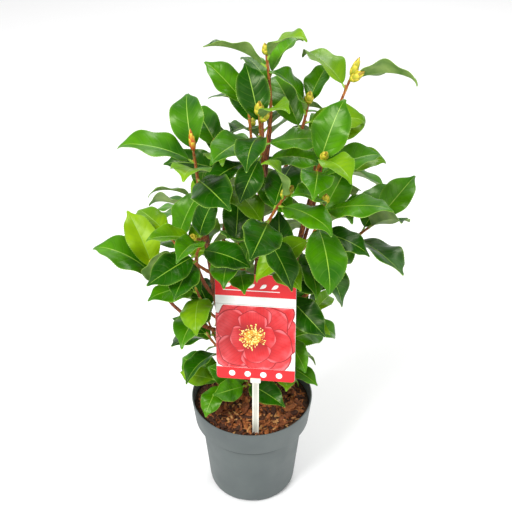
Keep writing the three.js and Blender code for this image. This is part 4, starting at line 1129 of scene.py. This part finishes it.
def print_flower():
    """A rosette of whorls of petals on four leaves: each petal strays a little from its turn
    and length by sines of its number, and lies on a slightly larger one in the shade colour.
    Its middle is a disc under many stamens."""
    w, (x, y) = LABEL["width"] / 2 - PRINT["inset"], FLOWER["at"]
    low, high = (-w, PRINT["foot"] + FLOWER["below"]), (w, PRINT["line"] - FLOWER["above"])
    for turn, length in FLOWER_LEAVES:
        leaf = turned_xy(petal_outline(length, length * FLOWER["leaf_width"]), turn, x, y)
        yield inlay(np.clip(leaf, low, high), 1, LEAF_GREEN)
    layer, rings = 2, FLOWER["rings"]
    for petals, length, width, start in WHORLS:
        for k in range(petals):
            turn = start + 360 * k / petals + FLOWER["stray"] * sin(5 * k + start)
            long = length * (1 + FLOWER["uneven"] * sin(3 * k + start))
            edge = petal_outline(long, width, FLOWER["points"], FLOWER["ruffle"], turn)
            place = turned_xy(edge, turn, x, y)
            shade = place.mean(0) + (place - place.mean(0)) * FLOWER["shade"]
            yield inlay(np.clip(shade, low, high), layer, PETAL_SHADE)
            uv = plate_shares(edge, long, width, PRINT["shrink"], rings)
            yield inlay(np.clip(place, low, high), layer + FLOWER["shade_step"], PETAL, uv, rings)
            layer += FLOWER["step"]
    middle = square_about(FLOWER["middle"], FLOWER["middle"] - PRINT["square"])
    yield inlay(middle * FLOWER["middle_share"] + (x, y), layer, FLOWER_MIDDLE)
    yield from print_stamens(x, y, layer + 1)


def print_stamens(x, y, layer):
    """Stamens as thin strips from the flower's middle, at seeded reaches and turns, each with
    a small tip; sines and remainders of their number vary the tips and the layers."""
    size, draw = STAMENS, np.random.default_rng(STAMENS["seed"])
    half, corner, steps = size["half"], size["round"], size["steps"]
    for k in range(size["count"]):
        near, wide, turn = draw.random(3)
        far = FLOWER["middle"] * between(size["nearest"], 1, near) * (1 + size["stretch"] * wide)
        strip = rounded_rectangle(0, -half, far, half, corner, corner, steps)
        strip = turned_xy(strip, 360 * turn, x, y)
        yield inlay(strip, layer + size["step"] * (k % 3), FLOWER_MIDDLE)
        tip = size["tip"] + size["tip_spread"] * sin(7 * k)
        dot = square_about(tip, tip * size["tip_corner"], size["tip_squash"], steps)
        at = np.array([x, y, 0]) + far * heading(360 * turn)
        dot = turned_xy(dot, 360 * turn + size["tip_turn"], at[0], at[1])
        yield inlay(dot, layer + 1 + size["tip_step"] * (k % 5), STAMEN_TIP)


def bar_section(half_width, half_thick):
    """Cross-section of a flat bar with a raised rail along both edges, as (across, through)."""
    inner = half_width - RAIL["width"]
    right = [(half_width, half_thick * RAIL["side"]), (half_width - RAIL["round"], half_thick),
             (inner, half_thick), (inner - RAIL["slope"], half_thick * RAIL["web"])]
    upper = right + [(-x, y) for x, y in reversed(right)]
    return np.array(upper + [(-x, -y) for x, y in upper])


def stick_tubes():
    """The stick as a bar drawn upwards, and the clip as a block that grips the card's edge."""
    section = bar_section(STICK["width"] / 2, STICK["thick"] / 2)
    centre = CARD_FOOT[:2] - np.array([0, STICK["forward"]])
    low, high = STICK["bottom"], CARD_FOOT[2] - STICK["below_card"]
    levels = ((0, low), (STICK["foot_share"], low), (1, low + STICK["foot_round"]), (1, high), (0, high))
    bar = [np.insert(centre + section * share, 2, z, 1)[:len(section) if share else 1]
           for share, z in levels]
    x, top, half = STICK["clip_width"] / 2, STICK["grip"], STICK["clip_thick"] / 2
    corner = STICK["clip_corner"]
    block = rounded_rectangle(-x, top - STICK["clip_height"], x, top, corner, corner)
    return [(np.concatenate(bar)[None], len(levels) - 2, len(section), 0, None),
            (*plate(block, -half, half, STICK["clip_shrink"]), 0, None)]


# ---------- materials

def linear(red, green, blue):
    """Linear light values of a colour given as 0 to 255 on a screen."""
    return tuple((c / 255 / 12.92) if c <= 10 else ((c / 255 + 0.055) / 1.055) ** 2.4
                 for c in (red, green, blue))


class Nodes:
    """Adds nodes to a tree. Each call names the kind of node, its inputs and its settings."""

    def __init__(self, tree):
        """Keeps the tree that the nodes are added to."""
        self.tree = tree

    def __call__(self, kind, inputs=None, **settings):
        """A new node with its inputs fed and its settings made."""
        node = self.tree.nodes.new("ShaderNode" + kind)
        for key, value in settings.items():
            setattr(node, key, value)
        for key, value in (inputs or {}).items():
            self.put(value, node.inputs[key])
        return node

    def put(self, value, socket):
        """Links a socket to another one, or gives it a value; a colour's alpha is 1."""
        if isinstance(value, bpy.types.NodeSocket):
            self.tree.links.new(value, socket)
        elif socket.type == "RGBA" and len(value) == 3:
            socket.default_value = (*value, 1)
        else:
            socket.default_value = value

    def math(self, operation, *values):
        """The result of a sum, product or other operation on values or sockets."""
        return self("Math", dict(enumerate(values)), operation=operation).outputs[0]

    def mix(self, factor, first, second):
        """A colour the share factor of the way from first to second."""
        node = self("Mix", data_type="RGBA")
        for key, value in (("Factor_Float", factor), ("A_Color", first), ("B_Color", second)):
            self.put(value, next(each for each in node.inputs if each.identifier == key))
        return next(each for each in node.outputs if each.identifier == "Result_Color")

    def tint(self, colour, other, mask, share=1):
        """A colour mixed with another one by a mask times a share."""
        return self.mix(self.math("MULTIPLY", mask, share), colour, other)

    def step(self, value, low, high):
        """0 below low, 1 above high and smooth between."""
        return self("MapRange", {"Value": value, "From Min": low, "From Max": high},
                    interpolation_type="SMOOTHSTEP").outputs["Result"]

    def off_middle(self, value):
        """How far a share is from one half, from 0 in the middle to 1 at both ends."""
        return self.math("ABSOLUTE", self.math("MULTIPLY_ADD", value, 2, -1))

    def surface(self):
        """Shares along and across the surface, from the mesh's own coordinates."""
        return self("SeparateXYZ", {"Vector": self("UVMap", uv_map="surface").outputs[0]}).outputs

    def object_place(self):
        """The place in the object's own coordinates, in metres."""
        return self("TexCoord").outputs["Object"]

    def stretched(self, place, stretch):
        """A place with its height divided by stretch, which draws a texture out along Z."""
        apart = self("SeparateXYZ", {"Vector": place}).outputs
        tall = self.math("DIVIDE", apart["Z"], stretch)
        return self("CombineXYZ", {"X": apart["X"], "Y": apart["Y"], "Z": tall}).outputs[0]

    def mottle(self, scale, detail, low=0, high=1, stretch=1):
        """The value of a mottle group of that scale, between low and high."""
        return self.group("Mottle", Scale=scale, Detail=detail, Low=low, High=high,
                          Stretch=stretch)["Value"]

    def group(self, name, **inputs):
        """The outputs of a shared node group that is fed these inputs."""
        node = self("Group")
        node.node_tree = bpy.data.node_groups[name]
        for key, value in inputs.items():
            self.put(value, node.inputs[key])
        return node.outputs


def new_group(name, inputs, outputs):
    """A shader node group whose named inputs carry their defaults."""
    tree = bpy.data.node_groups.new(name, "ShaderNodeTree")
    for label, value in inputs.items():
        socket = tree.interface.new_socket(label, in_out="INPUT", socket_type="NodeSocketFloat")
        socket.default_value = value
    for label in outputs:
        tree.interface.new_socket(label, in_out="OUTPUT", socket_type="NodeSocketFloat")
    given, out = tree.nodes.new("NodeGroupInput").outputs, tree.nodes.new("NodeGroupOutput").inputs
    return Nodes(tree), given, out


def mottle_group():
    """Noise on object coordinates, stretched along Z and read as a value from Low to High."""
    inputs = {"Scale": 60, "Detail": 3, "Stretch": 1, "Low": 0, "High": 1}
    nodes, given, out = new_group("Mottle", inputs, ("Value",))
    place = nodes.stretched(nodes.object_place(), given["Stretch"])
    noise = nodes("TexNoise", {"Vector": place, "Scale": given["Scale"], "Detail": given["Detail"]})
    value = nodes("MapRange", {"Value": noise.outputs["Fac"], "From Min": 0.3, "From Max": 0.7,
                               "To Min": given["Low"], "To Max": given["High"]})
    nodes.put(value.outputs["Result"], out["Value"])


def vein_group():
    """Side veins of a blade from its own coordinates: lines that leave the midrib and bend
    towards the tip, a mask that rises to the margin, and the height of the cushions between, which gives
    the relief and whose low parts the blade's colour darkens as painted shade."""
    inputs = {"Pairs": 8, "Bend": 0.2, "Width": 0.16}
    nodes, given, out = new_group("Blade veins", inputs, ("Vein", "Height", "Margin"))
    place = nodes.surface()
    off = nodes.off_middle(place["Y"])
    lead = nodes.math("MULTIPLY", nodes.math("POWER", off, 1.3), given["Bend"])
    phase = nodes.math("MULTIPLY", nodes.math("SUBTRACT", place["X"], lead), given["Pairs"])
    saw = nodes.off_middle(nodes.math("FRACT", phase))
    line = nodes.step(saw, nodes.math("SUBTRACT", 1, given["Width"]), 1)
    fade = nodes.math("SUBTRACT", 1, nodes.step(off, 0.6, 0.95))
    cushion = nodes.math("SUBTRACT", 1, nodes.math("POWER", saw, 2.5))
    nodes.put(nodes.math("MULTIPLY", line, fade), out["Vein"])
    nodes.put(nodes.math("MULTIPLY", cushion, fade), out["Height"])
    nodes.put(nodes.step(off, 0.78, 1), out["Margin"])


def bark_group():
    """Bark from object coordinates: long fissures, and pale raised dots where it breathes."""
    inputs = {"Scale": 900, "Stretch": 6, "Dots": 420}
    nodes, given, out = new_group("Bark", inputs, ("Fissure", "Dot", "Height"))
    place = nodes.object_place()
    long = nodes.stretched(place, given["Stretch"])
    noise = nodes("TexNoise", {"Vector": long, "Scale": given["Scale"], "Detail": 5.0})
    fissure = nodes.step(noise.outputs["Fac"], 0.42, 0.6)
    cells = nodes("TexVoronoi", {"Vector": place, "Scale": given["Dots"]}).outputs["Distance"]
    dot = nodes.math("SUBTRACT", 1, nodes.step(cells, 0.12, 0.24))
    nodes.put(fissure, out["Fissure"])
    nodes.put(dot, out["Dot"])
    nodes.put(nodes.math("ADD", fissure, nodes.math("MULTIPLY", dot, 0.5)), out["Height"])


def finish_material(name, build, **sockets):
    """A material with one principled shader. build(nodes) gives what feeds its Base Color,
    Roughness and the height of its relief, with the relief's strength and depth in metres."""
    material = bpy.data.materials.new(name)
    material.use_nodes = True
    tree = material.node_tree
    tree.nodes.clear()
    nodes = Nodes(tree)
    fed = build(nodes)
    shader = nodes("BsdfPrincipled")
    for key, value in {**sockets, **fed}.items():
        if key == "relief":
            height, strength, depth = value
            bump = nodes("Bump", {"Height": height, "Strength": strength, "Distance": depth})
            value, key = bump.outputs["Normal"], "Normal"
        nodes.put(value, shader.inputs[key])
    tree.links.new(shader.outputs[0], nodes("OutputMaterial").inputs["Surface"])
    return material


def blade_material(name, deep, bright, margin, rough):
    """Glossy upper side: mottled green with painted shade in the grooves by the veins, paler side veins
    and margin, cushions between veins.
    """
    def build(nodes):
        """Two mottled greens, the deep one again as painted shade in the low grooves between cushions,
        then veins and margin.
        """
        veins = nodes.group("Blade veins")
        green = nodes.mix(nodes.mottle(scale=26, detail=2), deep, bright)
        # painted shade: the deep green darkens the blade where its relief is low, in the grooves along
        # the veins and towards the margin
        green = nodes.tint(green, deep, nodes.math("SUBTRACT", 1, veins["Height"]), share=0.3)
        green = nodes.tint(green, margin, veins["Vein"], share=0.14)
        green = nodes.tint(green, margin, veins["Margin"], share=0.2)
        grain = nodes.mottle(scale=700, detail=3, low=-0.06, high=0.06)
        gloss = nodes.mottle(scale=90, detail=2, low=rough - 0.05, high=rough + 0.07)
        return {"Base Color": green, "Roughness": gloss,
                "relief": (nodes.math("ADD", veins["Height"], grain), 0.35, 0.0004)}
    return finish_material(name, build, **{"IOR": 1.32, "Specular Tint": (0.92, 1.0, 0.55),
                                           "Coat Weight": 0.07, "Coat Roughness": 0.2})


def plain_material(name, colour, other, surface=None):
    """A surface mottled between two colours, with the fine grain that SURFACES gives it."""
    scale, rough, grain, strength, depth = SURFACES[surface or name]

    def build(nodes):
        """The mix of both colours, a roughness mottled twice as finely, and the grain."""
        return {"Base Color": nodes.mix(nodes.mottle(scale, detail=3), colour, other),
                "Roughness": nodes.mottle(scale * 2, detail=2, low=rough - 0.06, high=rough + 0.06),
                "relief": (nodes.mottle(grain, detail=3), strength, depth)}
    return finish_material(name, build)


def bark_material(name, ridge, crack, young=None):
    """Bark from a ridge and a crack colour, and where young is given, that colour higher up."""
    rough, depth = BARKS[name]

    def build(nodes):
        """The crack colour, the ridges' where there is no fissure, and pale dots."""
        bark, ridge_here = nodes.group("Bark"), ridge
        if young:
            height = nodes("SeparateXYZ", {"Vector": nodes.object_place()}).outputs["Z"]
            ridge_here = nodes.mix(nodes.step(height, *YOUNG_BARK), ridge, young)
        patch = nodes.mottle(scale=40, detail=3, low=0.2, stretch=3)
        colour = nodes.tint(crack, ridge_here, bark["Fissure"], patch)
        colour = nodes.tint(colour, linear(*BARK_DOTS), bark["Dot"], share=0.55)
        return {"Base Color": colour, "relief": (bark["Height"], 0.7, depth)}
    return finish_material(name, build, Roughness=rough)


def bud_material(name, base, tip, edge):
    """Bud scales: one colour at the foot, another towards the tip and a dry pale edge."""
    def build(nodes):
        """Foot to tip by the share along, then the edge by the shares near sides and tip."""
        place = nodes.surface()
        colour = nodes.mix(nodes.step(place["X"], 0.25, 1), base, tip)
        sides = nodes.step(nodes.off_middle(place["Y"]), 0.75, 1)
        dry = nodes.math("MAXIMUM", sides, nodes.step(place["X"], 0.84, 1))
        colour = nodes.tint(colour, edge, dry, nodes.mottle(scale=500, detail=3, low=0.1, high=0.8))
        grain = nodes.mottle(scale=1600, detail=3, stretch=5)
        return {"Base Color": colour, "relief": (grain, 0.35, 0.0002)}
    return finish_material(name, build, Roughness=0.45)


def petal_material(name, throat, middle, edge):
    """Printed petal: darker at its foot, paler at its rim, with fine veins that fan outwards."""
    def build(nodes):
        """Foot to rim by the share along, with clouds, a pale rim and a sine for the veins."""
        place = nodes.surface()
        colour = nodes.mix(nodes.step(place["X"], 0.1, 0.75), throat, middle)
        clouds = nodes.mottle(scale=85, detail=2, high=0.35)
        colour = nodes.tint(colour, edge, nodes.step(place["X"], 0.45, 0.95), clouds)
        sides = nodes.step(nodes.off_middle(place["Y"]), 0.8, 0.94)
        rim = nodes.math("MAXIMUM", sides, nodes.step(place["X"], 0.9, 0.97))
        colour = nodes.tint(colour, edge, rim, share=0.7)
        lines = nodes.math("SINE", nodes.math("MULTIPLY", place["Y"], 70))
        colour = nodes.tint(colour, throat, nodes.step(lines, 0.6, 1), share=0.2)
        return {"Base Color": colour}
    return finish_material(name, build, Roughness=0.3)


def flat_material(name, colour, rough):
    """One colour, with a roughness that varies a little."""
    def build(nodes):
        """The colour, and the roughness as a fine mottle."""
        gloss = nodes.mottle(scale=1500, detail=2, low=rough - 0.03, high=rough + 0.05)
        return {"Base Color": colour, "Roughness": gloss}
    return finish_material(name, build)


# ---------- what a user would change

def colour_property(name, description, red, green, blue):
    """A colour that a user can change, with its default as 0 to 255 on a screen."""
    return FloatVectorProperty(name=name, description=description, default=linear(red, green, blue),
                               subtype="COLOR", size=3, min=0, max=1)


def share_property(name, description, default, most):
    """A share of some other size, from 0 to the most that is of use."""
    return FloatProperty(name=name, description=description, default=default, min=0, max=most,
                         subtype="FACTOR")


class ShrubLooks(bpy.types.PropertyGroup):
    """Sizes and colours of the shrub's leaves, buds and bark."""
    blade_stations: IntProperty(name="Blade stations", description="Steps along each blade",
                                default=60, min=10)
    tooth_depth: share_property(
        "Tooth depth", "Depth of the margin's teeth as a share of the blade's half width", 0.032, 0.2)
    tip_curl: FloatProperty(name="Tip curl", description="Most that a tip curls down",
                            default=radians(75), subtype="ANGLE")
    blade_twist: FloatProperty(name="Blade twist", description="Most that a blade twists",
                               default=radians(16), subtype="ANGLE")
    margin_wave: share_property(
        "Margin wave", "Height of the margin's waves as a share of the blade's half width", 0.12, 0.3)
    bark_depth: share_property(
        "Bark depth", "Height of the bark's ridges as a share of the limb's radius", 0.08, 0.3)
    dark_deep: colour_property("Old leaf, deep", "Darkest green of the old leaves", 8, 56, 0)
    dark_bright: colour_property("Old leaf, bright", "Lighter green of the old leaves", 38, 100, 0)
    mid_deep: colour_property("Leaf, deep", "Darker green of the full-grown leaves", 32, 92, 0)
    mid_bright: colour_property("Leaf, bright", "Lighter green of the full-grown leaves", 84, 148, 0)
    fresh_deep: colour_property("Fresh leaf, deep", "Darker green of the fresh leaves", 70, 124, 0)
    fresh_bright: colour_property("Fresh leaf, bright", "Lighter green of the fresh leaves", 126, 168, 4)
    young_deep: colour_property("Young leaf, deep", "Darker green of the young leaves", 120, 160, 0)
    young_bright: colour_property("Young leaf, bright", "Lighter green of the young leaves", 150, 188, 20)
    margin: colour_property("Side vein", "Colour of side veins and margins", 130, 178, 60)
    under_deep: colour_property("Underside, deep", "Darker colour of the underside", 84, 124, 44)
    under_bright: colour_property("Underside, bright", "Lighter colour of the underside", 142, 168, 88)
    vein: colour_property("Midrib", "Colour of stalks and midribs", 152, 188, 50)
    bud_foot: colour_property("Bud foot", "Colour of bud scales at their foot", 158, 164, 28)
    bud_tip: colour_property("Bud tip", "Colour of bud scales near their tip", 234, 212, 62)
    bud_edge: colour_property("Bud edge", "Colour of the dry edge of bud scales", 168, 88, 30)
    red_bud: colour_property("Leaf bud", "Colour of the long leaf bud's scales", 214, 92, 40)
    twig_ridge: colour_property("Twig", "Colour of young wood", 202, 122, 44)
    twig_crack: colour_property("Twig, dark", "Dark colour of young wood", 130, 62, 16)
    bough_ridge: colour_property("Bough", "Colour of the boughs' bark", 184, 96, 28)
    bough_crack: colour_property("Bough, dark", "Dark colour of the boughs' bark", 104, 46, 12)
    stem_ridge: colour_property("Stem", "Colour of the stems' bark", 138, 90, 48)
    stem_crack: colour_property("Stem, dark", "Colour in the stems' cracks", 82, 48, 32)


class PotLooks(bpy.types.PropertyGroup):
    """Sizes and colours of the pot, the soil and the label."""
    sides: IntProperty(name="Sides", description="Sides of the turned pot", default=240, min=24)
    chips: IntProperty(name="Bark chips", description="Number of bark chips on the soil",
                       default=1300, min=1)
    threads: IntProperty(name="Fibres", description="Number of bark fibres on the soil",
                         default=160, min=1)
    plastic: colour_property("Pot", "Colour of the pot's plastic", 90, 98, 97)
    plastic_worn: colour_property("Pot, worn", "Second colour of the pot's plastic", 80, 88, 88)
    soil_deep: colour_property("Soil, deep", "Colour between the chips", 36, 20, 12)
    soil_bright: colour_property("Soil, bright", "Lighter colour of the soil", 104, 62, 34)
    label_red: colour_property("Label red", "Colour of the label's header and foot band", 222, 18, 28)
    card_white: colour_property("Card white", "Colour of the bare card", 250, 250, 248)
    petal_throat: colour_property("Petal foot", "Colour of the printed petals at their foot", 138, 0, 14)
    petal_middle: colour_property("Petal", "Colour of the printed petals", 206, 8, 18)
    petal_edge: colour_property("Petal rim", "Colour of the printed petals' rim", 250, 126, 132)
    petal_shade: colour_property("Petal shade", "Colour between the printed petals", 160, 10, 22)
    stamen: colour_property("Stamens", "Colour of the printed flower's middle", 228, 160, 40)
    stamen_tip: colour_property("Stamen tips", "Colour of the printed stamens' tips", 255, 240, 140)
    print_green: colour_property("Printed leaves", "Colour of the printed leaves", 58, 122, 52)
    print_grey: colour_property("Printed line", "Colour of the line below the header", 170, 164, 160)
    stick: colour_property("Stick", "Colour of the label's stick", 244, 243, 230)
    stick_worn: colour_property("Stick, worn", "Second colour of the label's stick", 228, 227, 212)


# ---------- operators

PLANT = []


def plant():
    """The grown plant, worked out once: its limbs, twigs, leaves and buds."""
    if not PLANT:
        PLANT.append(grow_plant())
    return PLANT[0]


def mass_nodes(numbers):
    """Names of the solids of these masses."""
    return [f"mass_{MASSES[number][0]}" for number in numbers]


def pale_floor():
    """A square floor under the pot, from corner to corner of its half width."""
    far = FLOOR["half"]
    mesh = bpy.data.meshes.new("floor")
    mesh.from_pydata([(-far, -far, 0), (far, -far, 0), (far, far, 0), (-far, far, 0)], [], [(0, 1, 2, 3)])
    mesh.materials.append(flat_material("Pale floor", (FLOOR["grey"],) * 3, FLOOR["rough"]))
    floor = bpy.data.objects.new("floor", mesh)
    bpy.context.scene.collection.objects.link(floor)
    floor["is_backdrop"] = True


def studio_world():
    """A white sky of even light."""
    world = bpy.data.worlds.new("studio")
    world.use_nodes = True
    sky = world.node_tree.nodes["Background"].inputs
    sky["Color"].default_value = (1, 1, 1, 1)
    sky["Strength"].default_value = SKY
    return world


def area_lamp(name, power, size, place, aim):
    """A square lamp that shines from its place to its aim."""
    lamp = bpy.data.lights.new(name, "AREA")
    lamp.energy, lamp.size = power, size
    light = bpy.data.objects.new(name, lamp)
    light.location = place
    light.rotation_mode = "QUATERNION"
    light.rotation_quaternion = (Vector(aim) - Vector(place)).to_track_quat("-Z", "Y")
    return light


def stage_camera():
    """A camera before the plant, tilted down by a fixed angle."""
    camera = bpy.data.objects.new("camera", bpy.data.cameras.new("camera"))
    camera.data.lens, camera.data.sensor_width = CAMERA["lens"], CAMERA["sensor"]
    camera.location = CAMERA["place"]
    camera.rotation_euler = (radians(90 - CAMERA["down"]), 0, 0)
    return camera


class SHRUB_OT_groups(bpy.types.Operator):
    """Builds the shared shader node groups"""
    bl_idname = "shrub.groups"
    bl_label = "Shared effects"
    bl_options = {"REGISTER", "UNDO"}

    def execute(self, context):
        mottle_group()
        vein_group()
        bark_group()
        return {"FINISHED"}


class SHRUB_OT_stage(bpy.types.Operator):
    """Sets the pale floor, the soft studio lights and the camera"""
    bl_idname = "shrub.stage"
    bl_label = "Stage"
    bl_options = {"REGISTER", "UNDO"}

    def execute(self, context):
        scene = context.scene
        pale_floor()
        scene.world = studio_world()
        for row in LAMPS:
            scene.collection.objects.link(area_lamp(*row))
        scene.camera = stage_camera()
        scene.collection.objects.link(scene.camera)
        scene.view_settings.view_transform = "Standard"
        return {"FINISHED"}


class SHRUB_OT_pot(bpy.types.Operator):
    """Turns the nursery pot with its deep band, thin wall and drain notches"""
    bl_idname = "shrub.pot"
    bl_label = "Pot"
    bl_options = {"REGISTER", "UNDO"}

    def execute(self, context):
        looks = context.scene.pot_looks
        plastic = plain_material("Matt pot plastic", looks.plastic, looks.plastic_worn)
        make_piece("pot_turned", [pot_tube(looks.sides)], [plastic], ["pot"])
        return {"FINISHED"}


class SHRUB_OT_soil(bpy.types.Operator):
    """Fills the pot with soil and strews bark chips and fibres on it"""
    bl_idname = "shrub.soil"
    bl_label = "Soil"
    bl_options = {"REGISTER", "UNDO"}

    def execute(self, context):
        looks = context.scene.pot_looks
        soil = plain_material("Moist soil", looks.soil_deep, looks.soil_bright)
        make_piece("soil_bed", [soil_tube()], [soil], ["soil"])
        woods = [plain_material(f"Bark chip {number + 1}", linear(*first), linear(*second), "Bark chip")
                 for number, (first, second) in enumerate(CHIP_COLOURS)]
        chips = bark_chips(looks.chips) + [fibres(looks.threads)]
        make_piece("bark_chips", chips, woods, ["soil"])
        return {"FINISHED"}


class SHRUB_OT_label(bpy.types.Operator):
    """Cuts the label card, lays its plain printed design on it and makes its stick"""
    bl_idname = "shrub.label"
    bl_label = "Plant label"
    bl_options = {"REGISTER", "UNDO"}

    def execute(self, context):
        looks = context.scene.pot_looks
        half, high, thick = LABEL["width"] / 2, LABEL["height"], LABEL["thick"] / 2
        edge = rounded_rectangle(-half, 0, half, high, LABEL["corner"], LABEL["corner"])
        card = (*plate(edge, -thick, thick, CARD_EDGE), WHITE, None)
        prints = [flat_material("Card white", looks.card_white, SATIN),
                  flat_material("Printed red", looks.label_red, GLOSSY),
                  petal_material("Printed petals", looks.petal_throat, looks.petal_middle,
                                 looks.petal_edge),
                  flat_material("Printed leaf green", looks.print_green, GLOSSY),
                  flat_material("Printed flower middle", looks.stamen, SATIN),
                  flat_material("Printed grey line", looks.print_grey, SATIN),
                  flat_material("Printed stamen tips", looks.stamen_tip, SATIN),
                  flat_material("Printed petal shade", looks.petal_shade, GLOSSY)]
        make_piece("printed_label", [card, *print_bands(), *print_flower()], prints,
                   ["label_card"])
        plastic = plain_material("White stick plastic", looks.stick, looks.stick_worn)
        make_piece("label_stake", stick_tubes(), [plastic], ["label_stick"])
        return {"FINISHED"}


class SHRUB_OT_wood(bpy.types.Operator):
    """Grows the stems and boughs with bark relief, and the knotted twigs"""
    bl_idname = "shrub.wood"
    bl_label = "Stems, boughs and twigs"
    bl_options = {"REGISTER", "UNDO"}

    def execute(self, context):
        looks, (limbs, twigs, _, _) = context.scene.shrub_looks, plant()
        depth = looks.bark_depth
        stems, boughs = ([row[0] for row in rows] for rows in (STEMS, BOUGHS))
        bark = bark_material("Stem bark", looks.stem_ridge, looks.stem_crack, looks.bough_ridge)
        tubes = limb_tubes([limbs[name] for name in stems], STEM_RINGS, STEM_SIDES, depth, True)
        make_piece("stem_bark", [tubes], [bark], stems)
        bark = bark_material("Bough bark", looks.bough_ridge, looks.bough_crack)
        tubes = limb_tubes([limbs[name] for name in boughs], BOUGH_RINGS, BOUGH_SIDES, depth, False)
        make_piece("bough_bark", [tubes], [bark], boughs)
        bark = bark_material("Twig bark", looks.twig_ridge, looks.twig_crack)
        make_piece("twigs", [twig_tubes(twigs)], [bark], mass_nodes(range(len(MASSES))))
        return {"FINISHED"}


class SHRUB_OT_leaves(bpy.types.Operator):
    """Grows the serrated leaves, joined in a few pieces of neighbouring masses"""
    bl_idname = "shrub.leaves"
    bl_label = "Leaves"
    bl_options = {"REGISTER", "UNDO"}

    def execute(self, context):
        looks, leaves = context.scene.shrub_looks, plant()[2]
        materials = [blade_material(f"Leaf {age}", getattr(looks, age + "_deep"),
                                    getattr(looks, age + "_bright"), looks.margin, rough)
                     for age, rough in zip(LEAF_AGES, LEAF_ROUGHNESS)]
        materials += [plain_material("Leaf underside", looks.under_deep, looks.under_bright),
                      plain_material("Stalk and midrib", looks.vein, looks.margin)]
        ends = [piece * len(MASSES) // LEAF_PIECES for piece in range(LEAF_PIECES + 1)]
        for piece, masses in enumerate(map(range, ends, ends[1:])):
            own = [leaf for leaf in leaves if leaf["mass"] in masses]
            tubes, rings, sides, uv = leaf_tubes(own, looks)
            make_piece(f"leaves_{piece + 1}", [(tubes, rings, sides, 0, uv)], materials,
                       mass_nodes(masses), leaf_looks(own, rings, sides))
        return {"FINISHED"}


class SHRUB_OT_buds(bpy.types.Operator):
    """Grows the scaled flower buds, and the small buds in the leaf axils and on bare tips"""
    bl_idname = "shrub.buds"
    bl_label = "Buds"
    bl_options = {"REGISTER", "UNDO"}

    def execute(self, context):
        looks, (_, twigs, leaves, buds) = context.scene.shrub_looks, plant()
        kinds = [], []
        for bud in slender_buds(buds):
            kinds[MASSES[bud["mass"]][0] in LEAF_BUDS].append(bud)
        groups = [bud_bodies(small_buds(leaves, twigs), SMALL_RINGS, SMALL_SIDES, 0)]
        for look, own in enumerate(kinds):
            groups += [bud_scales(own, look), bud_bodies(own, BUD_RINGS, BUD_SIDES, look)]
        materials = [bud_material(name, foot, looks.bud_tip, looks.bud_edge)
                     for name, foot in (("Flower bud scales", looks.bud_foot),
                                        ("Leaf bud scales", looks.red_bud))]
        make_piece("buds", groups, materials, mass_nodes(range(len(MASSES))))
        return {"FINISHED"}


OPERATORS = (SHRUB_OT_groups, SHRUB_OT_stage, SHRUB_OT_pot, SHRUB_OT_soil, SHRUB_OT_label,
             SHRUB_OT_wood, SHRUB_OT_leaves, SHRUB_OT_buds)


class SHRUB_PT_panel(bpy.types.Panel):
    """Lists the shrub's pieces in the 3D view's sidebar"""
    bl_idname = "SHRUB_PT_panel"
    bl_label = "Potted shrub"
    bl_space_type = "VIEW_3D"
    bl_region_type = "UI"
    bl_category = "Shrub"

    def draw(self, context):
        """One button for each operator."""
        for operator in OPERATORS:
            self.layout.operator(operator.bl_idname)


CLASSES = (ShrubLooks, PotLooks) + OPERATORS + (SHRUB_PT_panel,)


def register():
    """Registers the classes and gives the scene its two groups of settings."""
    for each in CLASSES:
        bpy.utils.register_class(each)
    bpy.types.Scene.shrub_looks = PointerProperty(type=ShrubLooks)
    bpy.types.Scene.pot_looks = PointerProperty(type=PotLooks)


def unregister():
    """Takes the settings and the classes away again."""
    del bpy.types.Scene.shrub_looks
    del bpy.types.Scene.pot_looks
    for each in reversed(CLASSES):
        bpy.utils.unregister_class(each)


def main():
    """Builds every piece in order."""
    register()
    for operator in OPERATORS:
        group, name = operator.bl_idname.split(".")
        getattr(getattr(bpy.ops, group), name)()
    boxes = {"cad": CAD_BOX, "visual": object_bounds()}
    {name: [list(corner) for corner in box] for name, box in boxes.items()}


if __name__ == "__main__":
    main()
